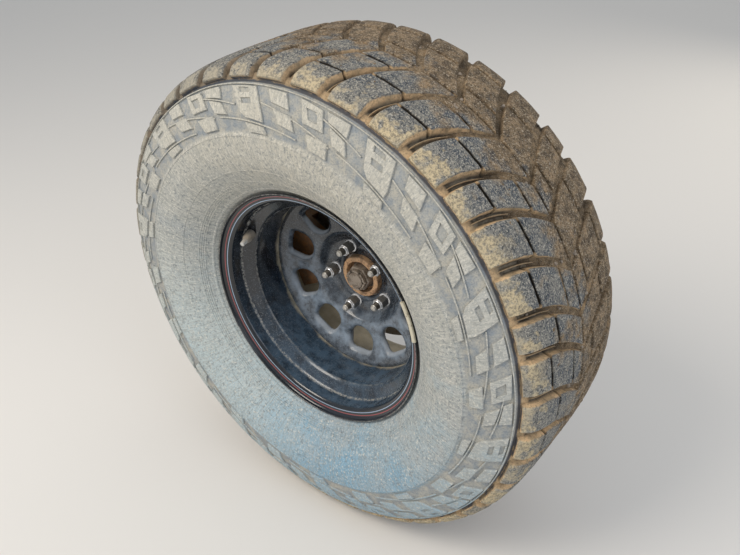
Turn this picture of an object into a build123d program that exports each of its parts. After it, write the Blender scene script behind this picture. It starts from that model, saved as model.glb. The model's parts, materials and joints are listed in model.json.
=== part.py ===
"""Front wheel end of a lifted off-road 4x4: mud tyre on a deep steel wheel, with hub, brake,
steering knuckle and the yoke on the axle's end. Millimetres, right-hand side of the vehicle.

+X points to the front of the vehicle, +Y inboard along the wheel's axis, +Z up. The origin is
in the mouth of the yoke's socket, where the axle tube goes in.
"""
from build123d import *
from math import cos, degrees, radians, sin, tan
import os

GAP = 0.3  # between pieces that touch on the real assembly
RUNNING = 0.05  # radial clearance of a shaft that turns in a bore

# Stations along the wheel's axis
KING_TO_SOCKET = 115.0  # kingpin axis to the socket's mouth
MOUNT_TO_KING = 117.0  # wheel's mounting face to the kingpin axis
LIP_TO_MOUNT = 145.0  # outboard rim lip to the mounting face
KING_Y = -KING_TO_SOCKET
MOUNT_Y = KING_Y - MOUNT_TO_KING
LIP_Y = MOUNT_Y - LIP_TO_MOUNT

# Wheel rim, a rolled steel strip
RIM_WIDTH = 228.0
RIM_T = 3.0
BEAD_R = 190.5  # bead seat, tyre side
FLANGE_H = 17.5  # flange, above the bead seat
WELL_H = 22.5  # drop centre, below the bead seat
LIP_R = BEAD_R + FLANGE_H
WELL_R = BEAD_R - WELL_H
WELL_FROM = 50.0  # drop centre's ends, from the outboard lip
WELL_TO = 128.0
WELL_RAMP = 14.0  # slope from the bead seat down to the drop centre
CENTRE_Y = LIP_Y + RIM_WIDTH / 2

# Valve and balance weight
VALVE_DEG = 152.6
VALVE_R = (BEAD_R + WELL_R) / 2 - RIM_T / 2  # middle of the slope
VALVE_OUT = WELL_FROM - WELL_RAMP / 2
VALVE_LEAN = 0.45  # how far it leans to the axis for each unit outboard
VALVE_HOLE_R = 6.0
WEIGHT_DEG = 17.8
WEIGHT_HALF_DEG = 9.2

# Pressed wheel disc
DISC_T = 4.5
DISC_BORE_R = 41.5
DISC_PAD_R = 70.0  # flat part that the nuts clamp
DISC_RISE = 35.0  # from the pad out to the edge
DISC_SKIRT = 18.0  # edge turned inboard along the drop centre
WINDOWS = 10
WINDOW_PITCH_R = 123.0
WINDOW_WIDTH = 46.0
WINDOW_DEPTH = 44.0  # along the wheel's radius
WINDOW_LIP = 9.0  # pressed collar round each window, inboard
WINDOW_LIP_T = 3.2
STUDS = 5
STUD_PCD = 114.3
STUD_R = 6.35
STUD_HOLE_R = 8.0
STUD_OUT = 37.5  # stud's tip, from the disc's outer face
FIRST_STUD_DEG = 110.5  # from +X towards +Z
NUT_FLATS = 19.0
NUT_H = 25.0

# Tyre
TYRE_R = 417.0
TREAD_HALF = 127.0
SECTION_HALF = 159.0
TREAD_DEPTH = 15.5
TYRE_SIDES = 30  # flat sides of the carcass
VOID_W = 19.0  # between two blocks along the tread
GROOVE_W = 4.0  # between blocks across the tread
GROOVE_OUT = 66.0  # groove's place, from the middle plane
PITCH_SHORT = 7.6  # three lengths of pitch, in degrees
PITCH_MIDDLE = 9.0
PITCH_LONG = 9.9
PITCHES_SEEN = "MMLLLSLLSLM"  # their order as measured, from FIRST_PITCH_DEG downwards
PITCHES_REST = "SMLSMMLSLMSMLMSLSMMSLMSMLSMMS"  # mixed in the same way
FIRST_PITCH_DEG = 96.0
LEAN_OUT = 2.4  # how far a void leans back, in degrees: shoulder blocks, then middle blocks
LEAN_IN = 5.4

# Hub and bearing unit
FLANGE_T = 11.0
FLANGE_R = 70.0
PILOT_R = 38.0
PILOT_OUT = 12.0  # pilot's reach outboard of the mounting face
NUT_WELL_R = 29.0
NUT_WELL_IN = 4.0  # floor of the nut's recess, inboard of the mounting face
SPIGOT_R = 24.0
SPLINE_R = 14.5
BEARING_R = 46.0
BEARING_LEN = 20.0
BEARING_FLANGE_T = 11.0
BEARING_PILOT_R = 38.0
BEARING_PILOT_LEN = 17.0
BEARING_BOLTS = 3
BOLT_DEG = 0.0
BEARING_BOLT_R = 5.0
BEARING_BOLT_PITCH_R = 53.0
BEARING_BOLT_HEAD = 7.0

# Driven shaft
SHAFT_OUT = 26.0  # shaft's end, from the mounting face
WASHER_T = 3.5
AXLE_NUT_H = 18.0
AXLE_NUT_FLATS = 41.0
CAGE_R = 19.0
CAGE_H = 7.5
COTTER_R = 1.6
COTTER_IN = 4.0  # cotter pin, from the shaft's end
JOINT_BORE_R = 13.5  # bores for the universal joint's cups
SHOULDER_R = 26.0  # shoulder between the splined end and the ears
SHOULDER_LEN = 17.0
EAR_OUT = 38.0  # outer faces of the shaft's ears
EAR_T = 12.0
EAR_HALF = 19.0

# Brake
HAT_T = 7.0
HAT_R = 84.0
HAT_WALL = 7.0
HAT_DEPTH = 31.0  # mounting face to the disc's outboard rubbing face
ROTOR_R = 140.0
ROTOR_T = 24.0
ROTOR_PLATE_T = 8.0
ROTOR_INNER_R = 92.0
VANES = 30
VANE_T = 5.0
PAD_T = 11.7
PAD_BACK_T = 5.0
PAD_EDGE = 3.0  # lining's outer edge, inside the disc's rim
PAD_TO_HAT = 11.0
PAD_DEPTH = ROTOR_R - PAD_EDGE - HAT_R - PAD_TO_HAT
PAD_HALF_DEG = 24.0
CALIPER_DEG = 180.0  # middle of the caliper, at the rear
CALIPER_HALF_DEG = 28.0
BRIDGE_R = ROTOR_R + 6.0
CALIPER_R = BRIDGE_R + 26.0
CALIPER_WALL = 14.0
PISTON_R = 29.0
PISTON_OUT = 26.0
SLIDE_HALF_DEG = 36.5
SLIDE_PITCH_R = ROTOR_R + 13.0
SLIDE_R = 5.0
SHIELD_T = 1.2
SHIELD_R = ROTOR_R + 3.0
SHIELD_NECK_R = 70.0  # cone of the shield, from the neck to the bend
SHIELD_BEND_R = 86.0
SHIELD_NOTCH_R = 76.0
SHIELD_TO_ROTOR = 5.0
PISTON_PITCH_R = ROTOR_R - 18.0
PORT_R = ROTOR_R + 12.0
PORT_DEG = 18.0  # brake port below the caliper's middle, bleeder as far above
BLEEDER_R = 4.0
BRAKE_PORT_R = 4.5
BRAKE_PORT_DEPTH = 12.0

# Steering
KPI_DEG = 7.5  # kingpin inclination, top leaning inboard
ARM_HALF = 17.0  # half the width of the yoke's and the knuckle's arms
EAR_R = 24.0
KNUCKLE_T = 23.8
KNUCKLE_R = 66.0
BRACKET_T = 13.5
BALL_STUD_R = 8.0
BALL_R = 12.0
BALL_HOUSING_R = 18.0
BALL_NUT_H = 11.5
BALL_NUT_FLATS = 24.0
# Ears along the kingpin axis, from the wheel's axis
UPPER_KNUCKLE_EAR = (64.0, 89.0)
UPPER_YOKE_EAR = (94.0, 122.0)
LOWER_KNUCKLE_EAR = (-118.0, -92.0)
LOWER_YOKE_EAR = (-87.0, -61.0)
TIE_ROD_X = 150.0
TIE_ROD_Y = 35.0  # tie rod's hole, outboard of the kingpin axis
TIE_ROD_Z = -61.0
TIE_ROD_HOLE_R = 8.5
STEER_ARM_T = 22.0
STEER_BOSS_R = 17.0

# Yoke on the axle's end
TUBE_R = 31.75
SOCKET_DEPTH = 50.0
SOCKET_R = 42.0
WEB_TO_KING = 50.0
SHAFT_HOLE_R = 27.0

# Stations that follow from the sizes above
PAD_Y = MOUNT_Y - DISC_T
FLANGE_Y = MOUNT_Y + HAT_T
HEAD_Y = FLANGE_Y + FLANGE_T
BEARING_Y = HEAD_Y + 3.0
EARED_Y = BEARING_Y + BEARING_LEN
SEAT_Y = EARED_Y + BEARING_FLANGE_T
KNUCKLE_Y = SEAT_Y + SHIELD_T
KNUCKLE_BACK_Y = KNUCKLE_Y + KNUCKLE_T
ROTOR_Y = MOUNT_Y + HAT_DEPTH
ROTOR_BACK_Y = ROTOR_Y + ROTOR_T
SHIELD_Y = ROTOR_BACK_Y + SHIELD_TO_ROTOR
BRACKET_Y = SHIELD_Y + SHIELD_T + 1.3
BRACKET_BACK_Y = BRACKET_Y + BRACKET_T
PISTON_Y = ROTOR_BACK_Y + PAD_T + 2 * GAP
CALIPER_BACK_Y = PISTON_Y + 24.0
FINGER_Y = ROTOR_Y - PAD_T - 2 * GAP
STUB_Y = SEAT_Y + BEARING_PILOT_LEN + GAP

os.makedirs("parts", exist_ok=True)


def face_on(y):
    """Sketch plane across the axis at y, with local x forward and local y up."""
    return Plane(origin=(0, y, 0), x_dir=(1, 0, 0), z_dir=(0, -1, 0))


def slab(y_from, y_to, sketch):
    """A sketch drawn across the axis, as thick as the span between two stations."""
    return extrude(face_on(y_to) * sketch, y_to - y_from)


def rod(r, y_from, y_to, x=0.0, z=0.0):
    return slab(y_from, y_to, Pos(x, z) * Circle(r))


def turned(points):
    """Solid of revolution about the wheel's axis from (radius, y) corners."""
    return revolve(make_face(Polyline(*points, close=True)), Axis.Y)


def strip(points, thickness):
    """Outline of sheet metal whose middle line runs through the (radius, y) points."""
    left, right = [], []
    for i, p in enumerate(points):
        normals = []
        for a, b in ((i - 1, i), (i, i + 1)):
            if 0 <= a and b < len(points):
                d = Vector(*points[b]) - Vector(*points[a])
                normals.append(Vector(-d.Y, d.X).normalized())
        mitre = (normals[0] + normals[-1]).normalized()
        reach = thickness / 2 / mitre.dot(normals[0])
        for side, sign in ((left, 1), (right, -1)):
            q = Vector(*p) + mitre * (reach * sign)
            side.append((q.X, q.Y))
    return left + right[::-1]


def sector(r_in, r_out, middle_deg, half_deg):
    """Flat ring segment drawn across the axis."""
    def at(r, deg):
        return r * cos(radians(deg)), r * sin(radians(deg))

    low, high = middle_deg - half_deg, middle_deg + half_deg
    inner = ThreePointArc(at(r_in, low), at(r_in, middle_deg), at(r_in, high))
    outer = ThreePointArc(at(r_out, high), at(r_out, middle_deg), at(r_out, low))
    ends = [Line(inner @ 1, outer @ 0), Line(outer @ 1, inner @ 0)]
    return make_face([inner, outer, *ends])


def around(count, r, first_deg=0.0):
    """(x, z) of places evenly spaced on a circle about the wheel's axis."""
    turns = [radians(first_deg + 360 * k / count) for k in range(count)]
    return [(r * cos(a), r * sin(a)) for a in turns]


def king(shape):
    """Moves a shape drawn about an upright kingpin into its leaning place."""
    return Pos(0, KING_Y, 0) * Rot(-KPI_DEG, 0, 0) * shape


def king_arm(points):
    """Arm of the yoke or the knuckle from its (y, z) side view, in the kingpin's frame."""
    side = make_face(Polyline(*points, close=True))
    return king(extrude(Plane.YZ * side, ARM_HALF, both=True))


def king_rod(r, z_from, z_to):
    return king(Pos(0, 0, (z_from + z_to) / 2) * Cylinder(r, z_to - z_from))


def hexagon(across_flats):
    return RegularPolygon(across_flats / 2, 6, major_radius=False)


# Tyre and wheel
def tyre_bar():
    """Straight bar with the tyre's section, as if one flat side of the tyre went on for ever."""
    floor = TYRE_R - TREAD_DEPTH
    outer = [  # columns: radius, distance from the rim's middle plane
        (floor - 0.5, GROOVE_OUT),
        (TYRE_R - 34, TREAD_HALF + 9),
        (TYRE_R - 62, SECTION_HALF - 7),
        (TYRE_R - 105, SECTION_HALF),
        (TYRE_R - 162, SECTION_HALF - 14),
        (LIP_R + 8, RIM_WIDTH / 2 - 1),
        (LIP_R + 2, RIM_WIDTH / 2 - 12.8),
        (BEAD_R + 4, RIM_WIDTH / 2 - 13),
        (BEAD_R, RIM_WIDTH / 2 - 18),
    ]
    inner = [
        (BEAD_R, RIM_WIDTH / 2 - 36),
        (LIP_R + 27, SECTION_HALF - 49),
        (TYRE_R - 110, SECTION_HALF - 16),
        (floor - 12, GROOVE_OUT),
    ]
    half = outer + inner
    points = [(r, CENTRE_Y + s) for r, s in half]
    points += [(r, CENTRE_Y - s) for r, s in reversed(half)]
    return extrude(make_face(Polyline(*points, close=True)), TYRE_R / 4, both=True)


def carcass():
    """Ring of flat sides, which needs far fewer faces than a turned one."""
    half_deg = 180 / TYRE_SIDES
    reach = 2 * TYRE_R
    spread = reach * tan(radians(half_deg))
    wedge = make_face(Polyline((0, 0), (reach, -spread), (reach, spread), close=True))
    side = tyre_bar() & slab(CENTRE_Y - SECTION_HALF - 5, CENTRE_Y + SECTION_HALF + 5, wedge)
    sides = [Rot(0, 2 * half_deg * k, 0) * side for k in range(TYRE_SIDES)]
    return sides[0] + sides[1:]


def tread_block(side, crown, lean_deg, near_half_deg, far_half_deg):
    """Block of the tread about +X, flat across, with its corners at the tyre's radius.

    side is 1 outboard and -1 inboard. The crown's columns are the distance from the tyre's middle
    plane and the fall of the top there. The block leans back by lean_deg on its way in.
    """
    near_out, far_out = crown[0][0], crown[-1][0]

    def across(out, deg):
        return CENTRE_Y - side * out, TYRE_R * sin(radians(deg))

    plan = [
        across(near_out, lean_deg / 2 - near_half_deg),
        across(near_out, lean_deg / 2 + near_half_deg),
        across(far_out, far_half_deg - lean_deg / 2),
        across(far_out, -far_half_deg - lean_deg / 2),
    ]
    corner = max(abs(t) for y, t in plan)
    drop = TYRE_R - (TYRE_R ** 2 - corner ** 2) ** 0.5
    root = TYRE_R - drop - TREAD_DEPTH - 8
    points = [(TYRE_R - drop - fall, CENTRE_Y - side * out) for out, fall in crown]
    points += [(root, CENTRE_Y - side * far_out), (root - crown[0][1], CENTRE_Y - side * near_out)]
    bar = extrude(make_face(Polyline(*points, close=True)), TYRE_R / 4, both=True)
    return bar & extrude(Plane.YZ * make_face(Polyline(*plan, close=True)), TYRE_R + 5)


def tread_blocks():
    """Two blocks to each pitch on each half; the pitches out of sight share what is left."""
    degrees_of = {"S": PITCH_SHORT, "M": PITCH_MIDDLE, "L": PITCH_LONG}
    pitches = [degrees_of[c] for c in PITCHES_SEEN]
    share = (360 - sum(pitches)) / sum(degrees_of[c] for c in PITCHES_REST)
    pitches += [degrees_of[c] * share for c in PITCHES_REST]
    void_half = degrees(VOID_W / 2 / TYRE_R)
    shoulder = [(TREAD_HALF + 7, 23.0), (0.88 * TREAD_HALF, 7.5), (GROOVE_OUT + GROOVE_W / 2, 0.8)]
    middle_crown = [(GROOVE_OUT - GROOVE_W / 2, 0.6), (GROOVE_W / 2, 0.0)]
    blocks = []
    for side in (1, -1):
        pieces = {}
        for pitch in set(pitches):
            wide = pitch / 2 - void_half
            pieces[pitch] = [
                tread_block(side, shoulder, LEAN_OUT, wide, wide),
                tread_block(side, middle_crown, LEAN_IN, wide, wide + void_half / 2),
            ]
        turn = FIRST_PITCH_DEG
        for pitch in pitches:
            middle = turn - pitch / 2
            places = (middle - LEAN_OUT / 2, middle - LEAN_OUT - LEAN_IN / 2)
            blocks += [Rot(0, -place, 0) * block for place, block in zip(places, pieces[pitch])]
            turn -= pitch
    return blocks


def tyre():
    return carcass() + tread_blocks()


def valve_plane():
    """Plane at the valve's foot, its z along the stem and out of the rim."""
    a = radians(VALVE_DEG)
    foot = (VALVE_R * cos(a), LIP_Y + VALVE_OUT, VALVE_R * sin(a))
    return Plane(origin=foot, z_dir=(-VALVE_LEAN * cos(a), -1, -VALVE_LEAN * sin(a)))


def along_valve(r, start, end):
    return valve_plane() * Pos(0, 0, (start + end) / 2) * Cylinder(r, end - start)


def rim():
    seat_mid = BEAD_R - RIM_T / 2
    well_mid = WELL_R - RIM_T / 2
    flange = [  # columns: radius, distance inboard from the lip
        (LIP_R - 1.5, 1.5),
        (LIP_R - 2.5, 6.0),
        (LIP_R - 7.0, 9.5),
        (BEAD_R + 3.5, 10.5),
        (seat_mid, 14.5),
    ]
    outboard = [(r, LIP_Y + y) for r, y in flange]
    inboard = [(r, LIP_Y + RIM_WIDTH - y) for r, y in reversed(flange)]
    well = [
        (seat_mid, LIP_Y + WELL_FROM - WELL_RAMP),
        (well_mid, LIP_Y + WELL_FROM),
        (well_mid, LIP_Y + WELL_TO),
        (seat_mid, LIP_Y + WELL_TO + 18),
    ]
    barrel = turned(strip(outboard + well + inboard, RIM_T))
    return barrel - along_valve(VALVE_HOLE_R, -12, 12)


def window_sketch(grown):
    """The disc's windows, domed towards the hub, each grown by a margin on every side."""
    window = Rectangle(WINDOW_DEPTH, WINDOW_WIDTH)
    window = fillet(window.vertices().sort_by(Axis.X)[:2], 0.4 * min(WINDOW_DEPTH, WINDOW_WIDTH))
    window = fillet(window.vertices().sort_by(Axis.X)[-2:], 0.2 * min(WINDOW_DEPTH, WINDOW_WIDTH))
    if grown:
        window = offset(window, grown)
    half_step = 180 / WINDOWS
    turns = [FIRST_STUD_DEG + (2 * k + 1) * half_step for k in range(WINDOWS)]
    return Sketch() + [Rot(0, 0, turn) * Pos(WINDOW_PITCH_R, 0) * window for turn in turns]


def wheel_disc():
    pad_mid = PAD_Y + DISC_T / 2
    edge_mid = WELL_R - RIM_T - DISC_T / 2
    dish = [  # columns: share of the way from the pad to the edge, share of the rise
        (0.09, 0.14),
        (0.16, 0.50),
        (0.30, 0.56),
        (0.65, 0.65),
        (0.85, 0.85),
        (0.97, 1.00),
        (1.00, 0.90),
    ]
    span = edge_mid - DISC_PAD_R
    line = [(DISC_BORE_R, pad_mid), (DISC_PAD_R, pad_mid)]
    line += [(DISC_PAD_R + a * span, pad_mid - b * DISC_RISE) for a, b in dish]
    line.append((edge_mid, line[-1][1] + DISC_SKIRT))
    shell = turned(strip(line, DISC_T))
    pressed = line[1:-1] + [(r, y + WINDOW_LIP) for r, y in line[-2:0:-1]]
    holes = window_sketch(0)
    collars = window_sketch(WINDOW_LIP_T) - holes
    y_from, y_to = pad_mid - DISC_RISE - DISC_T, MOUNT_Y + WINDOW_LIP
    shell += turned(pressed) & slab(y_from, y_to, collars)
    shell -= slab(y_from, y_to, holes)
    for x, z in around(STUDS, STUD_PCD / 2, FIRST_STUD_DEG):
        shell -= rod(STUD_HOLE_R, PAD_Y - 10, MOUNT_Y + 10, x, z)
    return shell


def valve():
    rubber = along_valve(7.5, 3.0, 8.0) + along_valve(5.4, 8.0, 18.0)
    return rubber + along_valve(VALVE_HOLE_R - RUNNING, -4.0, 3.0)


def valve_cap():
    return along_valve(4.2, 18.0, 28.0)


def wheel_weight():
    section = [  # columns: radius, distance inboard from the lip
        (LIP_R - 9, -3.0),
        (LIP_R + 2, -3.0),
        (LIP_R + 2, 1.0),
        (LIP_R - 4, 1.0),
        (LIP_R - 6.5, 6.0),
        (LIP_R - 9, 7.0),
    ]
    outline = make_face(Polyline(*[(r, LIP_Y + y) for r, y in section], close=True))
    piece = revolve(outline, Axis.Y, 2 * WEIGHT_HALF_DEG)
    return Rot(0, -WEIGHT_DEG - WEIGHT_HALF_DEG, 0) * piece


# Studs, nuts, hub and driven shaft
def wheel_stud(x, z):
    tip = PAD_Y - STUD_OUT
    shank = rod(STUD_R, tip + 8, HEAD_Y, x, z)
    return shank + rod(STUD_R - 1.3, tip, tip + 8, x, z) + rod(9.0, HEAD_Y, HEAD_Y + 2.6, x, z)


def lug_nut(x, z):
    grip = slab(PAD_Y - NUT_H + 4, PAD_Y - 4, Pos(x, z) * hexagon(NUT_FLATS))
    collar = rod(NUT_FLATS / 2 + 2.5, PAD_Y - 4, PAD_Y, x, z)
    spigot = rod(STUD_HOLE_R - GAP, PAD_Y, PAD_Y + 3, x, z)
    top = rod(NUT_FLATS / 2 - 0.8, PAD_Y - NUT_H, PAD_Y - NUT_H + 4, x, z)
    return grip + collar + spigot + top - rod(STUD_R + RUNNING, PAD_Y - NUT_H, MOUNT_Y, x, z)


def hub():
    floor = MOUNT_Y + NUT_WELL_IN
    bore = SPLINE_R + RUNNING
    shell = turned([
        (bore, floor),
        (NUT_WELL_R, floor),
        (NUT_WELL_R, MOUNT_Y - PILOT_OUT),
        (PILOT_R - 1.5, MOUNT_Y - PILOT_OUT),
        (PILOT_R, MOUNT_Y - PILOT_OUT + 1.5),
        (PILOT_R, FLANGE_Y),
        (FLANGE_R, FLANGE_Y),
        (FLANGE_R, HEAD_Y),
        (SPIGOT_R, HEAD_Y),
        (SPIGOT_R, SEAT_Y + BEARING_PILOT_LEN - 2),
        (bore, SEAT_Y + BEARING_PILOT_LEN - 2),
    ])
    for x, z in around(STUDS, STUD_PCD / 2, FIRST_STUD_DEG):
        shell -= rod(STUD_R + RUNNING, FLANGE_Y, HEAD_Y, x, z)
    return shell


def stub_shaft():
    neck_y = STUB_Y + SHOULDER_LEN
    shank = rod(SPLINE_R, MOUNT_Y - SHAFT_OUT, STUB_Y) + rod(SHOULDER_R, STUB_Y, neck_y)
    base = Pos(0, neck_y + EAR_T / 2) * Box(2 * EAR_OUT, EAR_T, 2 * EAR_HALF)
    ear = Pos(KING_Y, 0) * Circle(EAR_HALF)
    ear += Pos((neck_y + KING_Y) / 2, 0) * Rectangle(KING_Y - neck_y, 2 * EAR_HALF)
    ear -= Pos(KING_Y, 0) * Circle(JOINT_BORE_R)
    left = Pos(-EAR_OUT, 0, 0) * extrude(Plane.YZ * ear, EAR_T)
    right = Pos(EAR_OUT - EAR_T, 0, 0) * extrude(Plane.YZ * ear, EAR_T)
    base &= rod(EAR_OUT, neck_y, neck_y + EAR_T)
    shaft = shank + base + left + right
    pin_y = MOUNT_Y - SHAFT_OUT + COTTER_IN
    return shaft - Pos(0, pin_y, 0) * Rot(0, 90, 0) * Cylinder(COTTER_R + RUNNING, 60)


def axle_washer():
    y = MOUNT_Y + NUT_WELL_IN
    return rod(NUT_WELL_R - 4, y - WASHER_T, y) - rod(SPLINE_R + RUNNING, y - WASHER_T, y)


def axle_nut():
    y = MOUNT_Y + NUT_WELL_IN - WASHER_T
    body = slab(y - AXLE_NUT_H, y, hexagon(AXLE_NUT_FLATS))
    return body - rod(SPLINE_R + RUNNING, y - AXLE_NUT_H, y)


def nut_retainer():
    y = MOUNT_Y + NUT_WELL_IN - WASHER_T - AXLE_NUT_H
    ring = rod(CAGE_R, y - CAGE_H, y) - rod(CAGE_R - 3.5, y - CAGE_H, y)
    for k in range(3):
        slot = Rot(0, 60 * k, 0) * Box(2 * CAGE_R + 2, CAGE_H - 2, 4.0)
        ring -= Pos(0, y - CAGE_H / 2 - 1, 0) * slot
    return ring


def cotter_pin():
    pin_y = MOUNT_Y - SHAFT_OUT + COTTER_IN
    return Pos(0, pin_y, 0) * Rot(0, 90, 0) * Cylinder(COTTER_R, 2 * CAGE_R + 4)


# Brake
def brake_disc():
    inner = HAT_R - HAT_WALL
    hat = turned([
        (PILOT_R + RUNNING, MOUNT_Y),
        (HAT_R, MOUNT_Y),
        (HAT_R, ROTOR_Y),
        (ROTOR_R, ROTOR_Y),
        (ROTOR_R, ROTOR_Y + ROTOR_PLATE_T),
        (inner, ROTOR_Y + ROTOR_PLATE_T),
        (inner, FLANGE_Y),
        (PILOT_R + RUNNING, FLANGE_Y),
    ])
    for x, z in around(STUDS, STUD_PCD / 2, FIRST_STUD_DEG):
        hat -= rod(STUD_R + GAP, MOUNT_Y, FLANGE_Y, x, z)
    back = ROTOR_BACK_Y - ROTOR_PLATE_T
    hat += rod(ROTOR_R, back, ROTOR_BACK_Y) - rod(ROTOR_INNER_R, back, ROTOR_BACK_Y)
    length = ROTOR_R - ROTOR_INNER_R - 6
    vane = Pos((ROTOR_R + ROTOR_INNER_R) / 2, 0) * Rectangle(length, VANE_T)
    vanes = Sketch() + [Rot(0, 0, 360 * k / VANES) * vane for k in range(VANES)]
    return hat + slab(ROTOR_Y + ROTOR_PLATE_T, back, vanes)


def bearing_housing():
    lobes = Circle(BEARING_BOLT_PITCH_R - 1)
    for x, z in around(BEARING_BOLTS, BEARING_BOLT_PITCH_R, BOLT_DEG):
        lobes += Pos(x, z) * Circle(BEARING_BOLT_R + 6.5)
    for x, z in around(BEARING_BOLTS, BEARING_BOLT_PITCH_R, BOLT_DEG):
        lobes -= Pos(x, z) * Circle(BEARING_BOLT_R + RUNNING)
    shell = rod(BEARING_R, BEARING_Y, EARED_Y) + slab(EARED_Y, SEAT_Y, lobes)
    shell += rod(BEARING_PILOT_R, SEAT_Y, SEAT_Y + BEARING_PILOT_LEN)
    return shell - rod(SPIGOT_R + RUNNING, BEARING_Y, SEAT_Y + BEARING_PILOT_LEN)


def bearing_bolt(x, z):
    shank = rod(BEARING_BOLT_R, EARED_Y, KNUCKLE_BACK_Y, x, z)
    head = Pos(x, z) * hexagon(3.2 * BEARING_BOLT_R)
    return shank + slab(KNUCKLE_BACK_Y, KNUCKLE_BACK_Y + BEARING_BOLT_HEAD, head)


def dust_shield():
    t = SHIELD_T
    bowl = turned([
        (BEARING_PILOT_R + RUNNING, SEAT_Y),
        (SHIELD_NECK_R, SEAT_Y),
        (SHIELD_BEND_R, SHIELD_Y),
        (SHIELD_R, SHIELD_Y),
        (SHIELD_R, SHIELD_Y + t),
        (SHIELD_BEND_R - t / 2, SHIELD_Y + t),
        (SHIELD_NECK_R - t / 2, SEAT_Y + t),
        (BEARING_PILOT_R + RUNNING, SEAT_Y + t),
    ])
    notch = sector(SHIELD_NOTCH_R, SHIELD_R + 5, CALIPER_DEG, SLIDE_HALF_DEG + 3.5)
    bowl -= slab(SEAT_Y - 1, SHIELD_Y + 5, notch)
    for x, z in around(BEARING_BOLTS, BEARING_BOLT_PITCH_R, BOLT_DEG):
        bowl -= rod(BEARING_BOLT_R + RUNNING, SEAT_Y, KNUCKLE_Y, x, z)
    return bowl


def brake_pad(face_y, away):
    """Lining and back plate; away is +1 for the inboard pad and -1 for the outboard one."""
    outer = ROTOR_R - PAD_EDGE
    shape = sector(outer - PAD_DEPTH, outer, CALIPER_DEG, PAD_HALF_DEG)
    plate = sector(outer - PAD_DEPTH, outer + 2, CALIPER_DEG, PAD_HALF_DEG + 3)
    near = face_y + away * GAP
    lined = near + away * (PAD_T - PAD_BACK_T)
    back = near + away * PAD_T
    lining = slab(min(near, lined), max(near, lined), shape)
    return lining + slab(min(lined, back), max(lined, back), plate)


def slide_places():
    turns = [radians(CALIPER_DEG + side * SLIDE_HALF_DEG) for side in (-1, 1)]
    return [(SLIDE_PITCH_R * cos(a), SLIDE_PITCH_R * sin(a)) for a in turns]


def on_caliper(r, off_deg):
    a = radians(CALIPER_DEG + off_deg)
    return r * cos(a), r * sin(a)


def caliper():
    low = ROTOR_R - PAD_DEPTH
    fingers = sector(low, BRIDGE_R + 6, CALIPER_DEG, CALIPER_HALF_DEG)
    fingers -= Pos(*on_caliper(low, 0)) * Circle(16)
    shell = slab(FINGER_Y - CALIPER_WALL, FINGER_Y, fingers)
    bridge = sector(BRIDGE_R, CALIPER_R, CALIPER_DEG, CALIPER_HALF_DEG)
    shell += slab(FINGER_Y - CALIPER_WALL, CALIPER_BACK_Y, bridge)
    back = sector(low, CALIPER_R, CALIPER_DEG, CALIPER_HALF_DEG)
    shell += slab(PISTON_Y, CALIPER_BACK_Y, back)
    x, z = on_caliper(PISTON_PITCH_R, 0)
    shell += rod(PISTON_R + 4, CALIPER_BACK_Y, CALIPER_BACK_Y + PISTON_OUT, x, z)
    ears = sector(SLIDE_PITCH_R - 11, SLIDE_PITCH_R + 11, CALIPER_DEG, SLIDE_HALF_DEG)
    for ex, ez in slide_places():
        ears += Pos(ex, ez) * Circle(11)
    shell += slab(BRACKET_BACK_Y + GAP, CALIPER_BACK_Y, ears)
    shell -= rod(PISTON_R + RUNNING, ROTOR_BACK_Y, CALIPER_BACK_Y + PISTON_OUT - 7, x, z)
    for ex, ez in slide_places():
        shell -= rod(SLIDE_R + RUNNING, BRACKET_Y, CALIPER_BACK_Y, ex, ez)
    px, pz = on_caliper(PORT_R, PORT_DEG)
    shell -= rod(BRAKE_PORT_R, CALIPER_BACK_Y - BRAKE_PORT_DEPTH, CALIPER_BACK_Y, px, pz)
    bx, bz = on_caliper(PORT_R, -PORT_DEG)
    return shell - rod(BLEEDER_R + RUNNING, CALIPER_BACK_Y - 8, CALIPER_BACK_Y, bx, bz)


def brake_piston():
    x, z = on_caliper(PISTON_PITCH_R, 0)
    y = ROTOR_BACK_Y + GAP + PAD_T
    end = CALIPER_BACK_Y + PISTON_OUT - 12
    return rod(PISTON_R, y, end, x, z) - rod(PISTON_R - 5, y, end - 6, x, z)


def bleeder():
    x, z = on_caliper(PORT_R, -PORT_DEG)
    y = CALIPER_BACK_Y
    nipple = rod(BLEEDER_R, y - 8, y, x, z) + slab(y, y + 7, Pos(x, z) * hexagon(11))
    return nipple + rod(3.0, y + 7, y + 18, x, z)


def slide_pin(x, z):
    shank = rod(SLIDE_R, BRACKET_Y, CALIPER_BACK_Y, x, z)
    return shank + slab(CALIPER_BACK_Y, CALIPER_BACK_Y + 7, Pos(x, z) * hexagon(15))


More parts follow.
